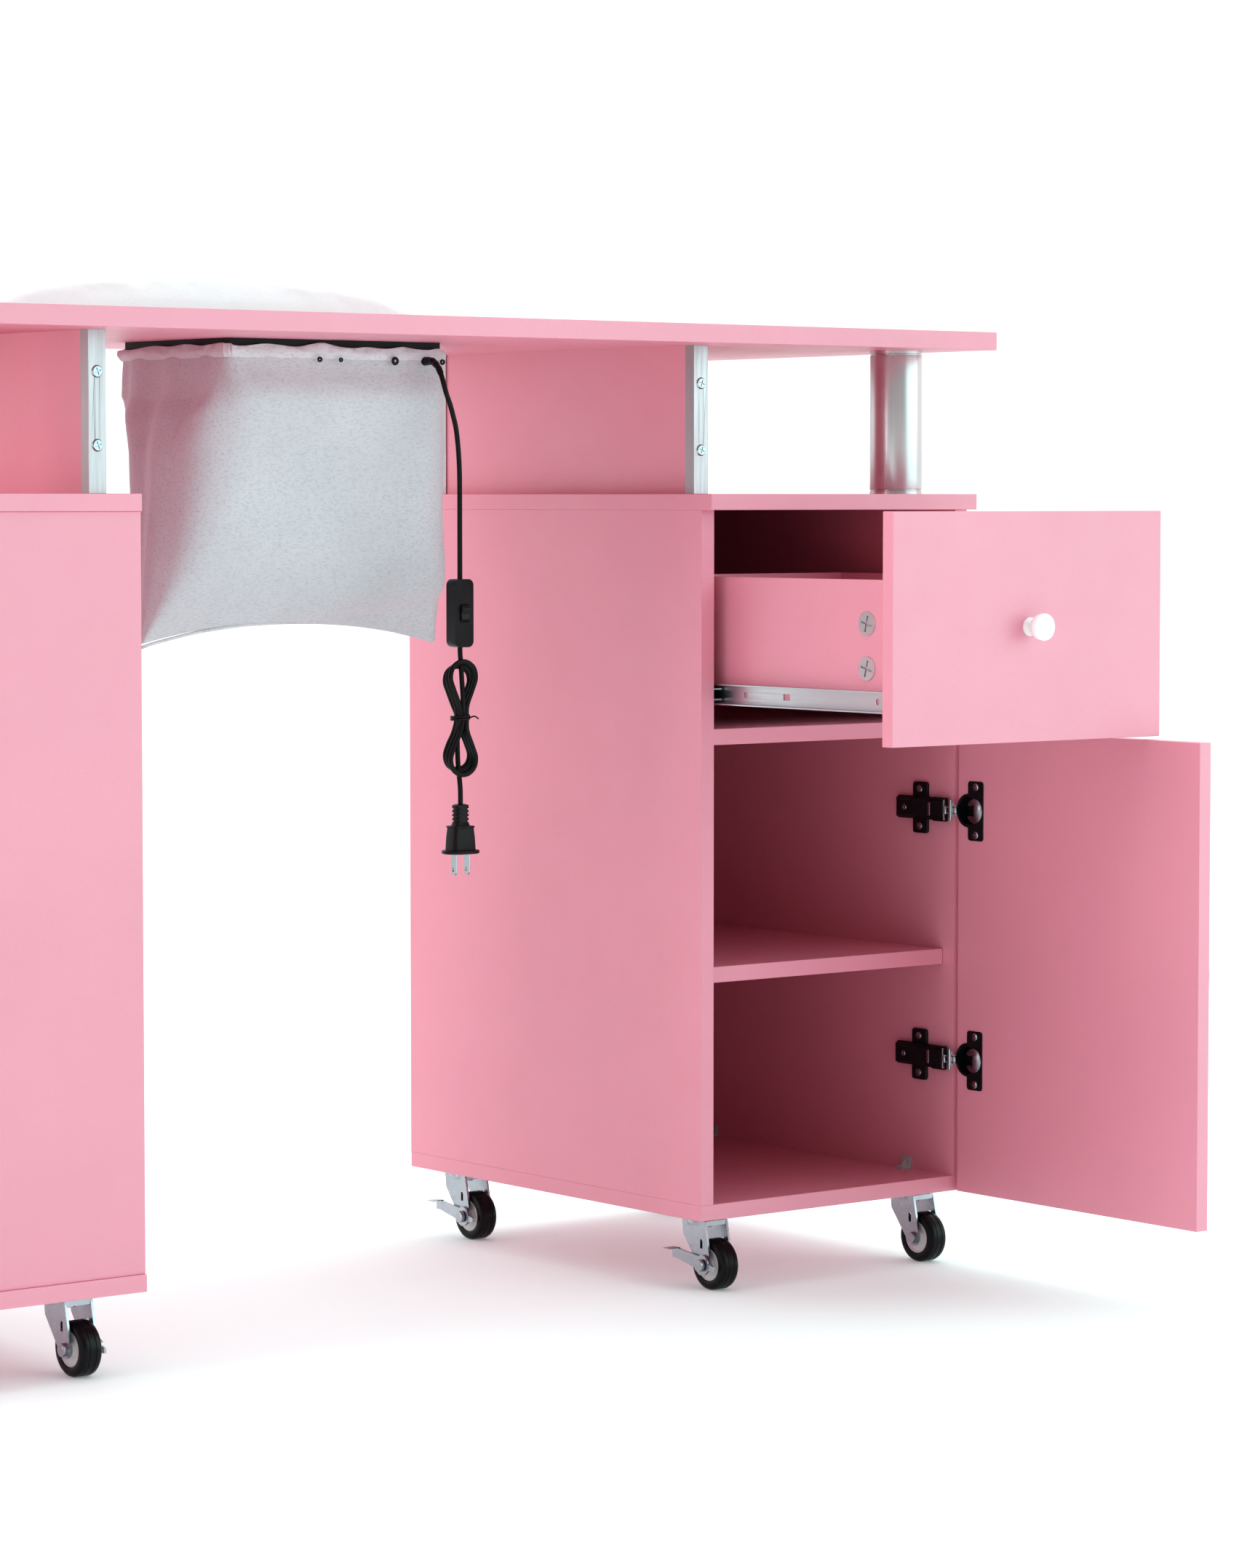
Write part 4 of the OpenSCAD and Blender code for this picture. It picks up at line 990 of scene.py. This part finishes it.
# ---------- wrist cushion ----------

cushion_lo, cushion_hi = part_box("wrist_cushion")

# Height of the pad's ridge at each distance from its middle, in mm
RIDGE = [(0, 43.0), (35, 43.0), (80, 41.8), (109, 40.3), (138, 38.2), (153, 36.7), (168, 34.0), (183, 29.2),
         (198, 23.2), (207, 18.5), (216, 10.0), (220, 4.0)]


def along(table, v):
    """Straight-line value at v in a table of (v, value) rows."""
    for (v0, a), (v1, b) in zip(table, table[1:]):
        if v <= v1:
            return a + (b - a) * (v - v0) / (v1 - v0)
    return table[-1][1]


def pad_plan(inset):
    """The cushion's middle, and half its length and depth less an inset, in mm."""
    return ((cushion_lo.x + cushion_hi.x) / 2 / MM, (cushion_lo.y + cushion_hi.y) / 2 / MM,
            (cushion_hi.x - cushion_lo.x) / 2 / MM - inset, (cushion_hi.y - cushion_lo.y) / 2 / MM - inset)


def make_cushion():
    """Crowned pad that is flat below, lower at its two ends, with sides drawn in between the corners."""
    cx, cy, hx, hy = pad_plan(inset=3.0)
    z0, rim = cushion_lo.z / MM + 0.4, 5.0
    cols, rows = 140, 44
    verts, faces = [], []

    def at(u, v, top):
        x, y = math.sin((u - 0.5) * math.pi), 2 * v - 1
        pull = 1 - 0.03 * (1 - y * y) * abs(x) ** 8
        pinch = 1 - 0.05 * (1 - x * x) * abs(y) ** 6
        high = along(RIDGE, abs(x) * hx) - 2.5
        side = max(0.0, 1 - abs(y) ** 2.6) ** 0.55
        return Vector((cx + x * hx * pull, cy + y * hy * pinch,
                       z0 + (rim + max(0.0, high - rim) * side if top else 0)))
    for top in (True, False):
        for j in range(rows + 1):
            for i in range(cols + 1):
                verts.append(at(i / cols, j / rows, top) * MM)
    size = (rows + 1) * (cols + 1)
    for k in (0, 1):
        for j in range(rows):
            for i in range(cols):
                a = k * size + j * (cols + 1) + i
                faces.append((a, a + 1, a + cols + 2, a + cols + 1))
    rim_ids = (list(range(cols)) + [j * (cols + 1) + cols for j in range(rows)]
               + [rows * (cols + 1) + i for i in range(cols, 0, -1)] + [j * (cols + 1) for j in range(rows, 0, -1)])
    for k, a in enumerate(rim_ids):
        b = rim_ids[(k + 1) % len(rim_ids)]
        faces.append((a, b, b + size, a + size))
    return new_object("wrist_pad", verts, faces, [M["leather"]])


cushion = make_cushion()
r = cushion.modifiers.new("remesh", "REMESH")
r.mode = "VOXEL"
r.voxel_size = 5 * MM
bpy.context.view_layer.objects.active = cushion
bpy.ops.object.modifier_apply(modifier=r.name)
floor = cushion_lo.z + 0.3 * MM
simulate(cushion, None, frames=20, pressure=4, gravity=0, cap=5, bend=2.0)
for v in cushion.data.vertices:
    v.co.z = max(v.co.z, floor)
    v.co.x = min(max(v.co.x, cushion_lo.x), cushion_hi.x)
    v.co.y = min(max(v.co.y, cushion_lo.y), cushion_hi.y)
for p in cushion.data.polygons:
    p.use_smooth = True
soften(cushion)
piece(cushion, "cushion", "leather", "wrist_cushion")


def make_piping():
    """Piped seam round the pad's lower edge."""
    cx, cy, hx, hy = pad_plan(inset=2.2)
    pts = [(cx + x, cy + y, cushion_lo.z / MM + 5.5) for x, y in rounded(2 * hx, 2 * hy, 12, 10)]
    o = curve_piece("wrist_pad_piping", pts, 1.6, M["leather"], 4)
    o.data.splines[0].use_cyclic_u = True
    return o


piping = make_piping()
piece(piping, "cushion", "leather")


# ---------- floor, world and lights ----------

def floor_and_light():
    n = Nodes("studio_floor")
    n.set(Base_Color=n.mix(n.noise(2, 2), (0.79, 0.90, 0.89), (0.81, 0.92, 0.91)), Roughness=0.8,
          Specular_IOR_Level=0.2, Emission_Color=(1.0, 1.0, 1.0, 1.0), Emission_Strength=0.15)
    size = 14
    o = new_object("floor", [(-size, -size, 0), (size, -size, 0), (size, size, 0), (-size, size, 0)], [(0, 1, 2, 3)],
                   [n.m], False)
    world = bpy.data.worlds.new("studio")
    world.use_nodes = True
    tree = world.node_tree
    background = tree.nodes["Background"]
    background.inputs[0].default_value = (1, 1, 1, 1)
    toward = tree.nodes.new("ShaderNodeVectorMath")
    toward.operation = "DOT_PRODUCT"
    toward.inputs[1].default_value = (0.62, 0.78, 0.25)
    ramp = tree.nodes.new("ShaderNodeMapRange")
    for key, v in (("From Min", -0.55), ("From Max", 0.0), ("To Min", 0.42), ("To Max", 1.0)):
        ramp.inputs[key].default_value = v
    tree.links.new(tree.nodes.new("ShaderNodeTexCoord").outputs["Generated"], toward.inputs[0])
    tree.links.new(toward.outputs["Value"], ramp.inputs["Value"])
    tree.links.new(ramp.outputs[0], background.inputs[1])
    bpy.context.scene.world = world

    def area(name, at, look, size_x, size_y, power, colour=(1, 1, 1)):
        d = bpy.data.lights.new(name, "AREA")
        d.shape = "RECTANGLE"
        d.size, d.size_y, d.energy = size_x, size_y, power
        d.color = colour
        lamp = bpy.data.objects.new(name, d)
        lamp.location = at
        lamp.rotation_euler = (Vector(look) - Vector(at)).to_track_quat("-Z", "Y").to_euler()
        bpy.context.scene.collection.objects.link(lamp)
    area("key", (3.1, -4.0, 1.7), (0.2, 0, 0.4), 5.0, 3.1, 70, (0.62, 1.0, 1.0))
    area("fill", (-3.3, 0.3, 1.2), (0.2, 0, 0.4), 1.8, 1.9, 41, (1.0, 0.95, 0.96))
    area("top", (0.3, 0.2, 3.2), (0.3, 0.2, 0), 3.2, 3.2, 28)
    bpy.context.scene.view_settings.view_transform = "Standard"
    bpy.context.scene.view_settings.look = "Medium High Contrast"


floor_and_light()
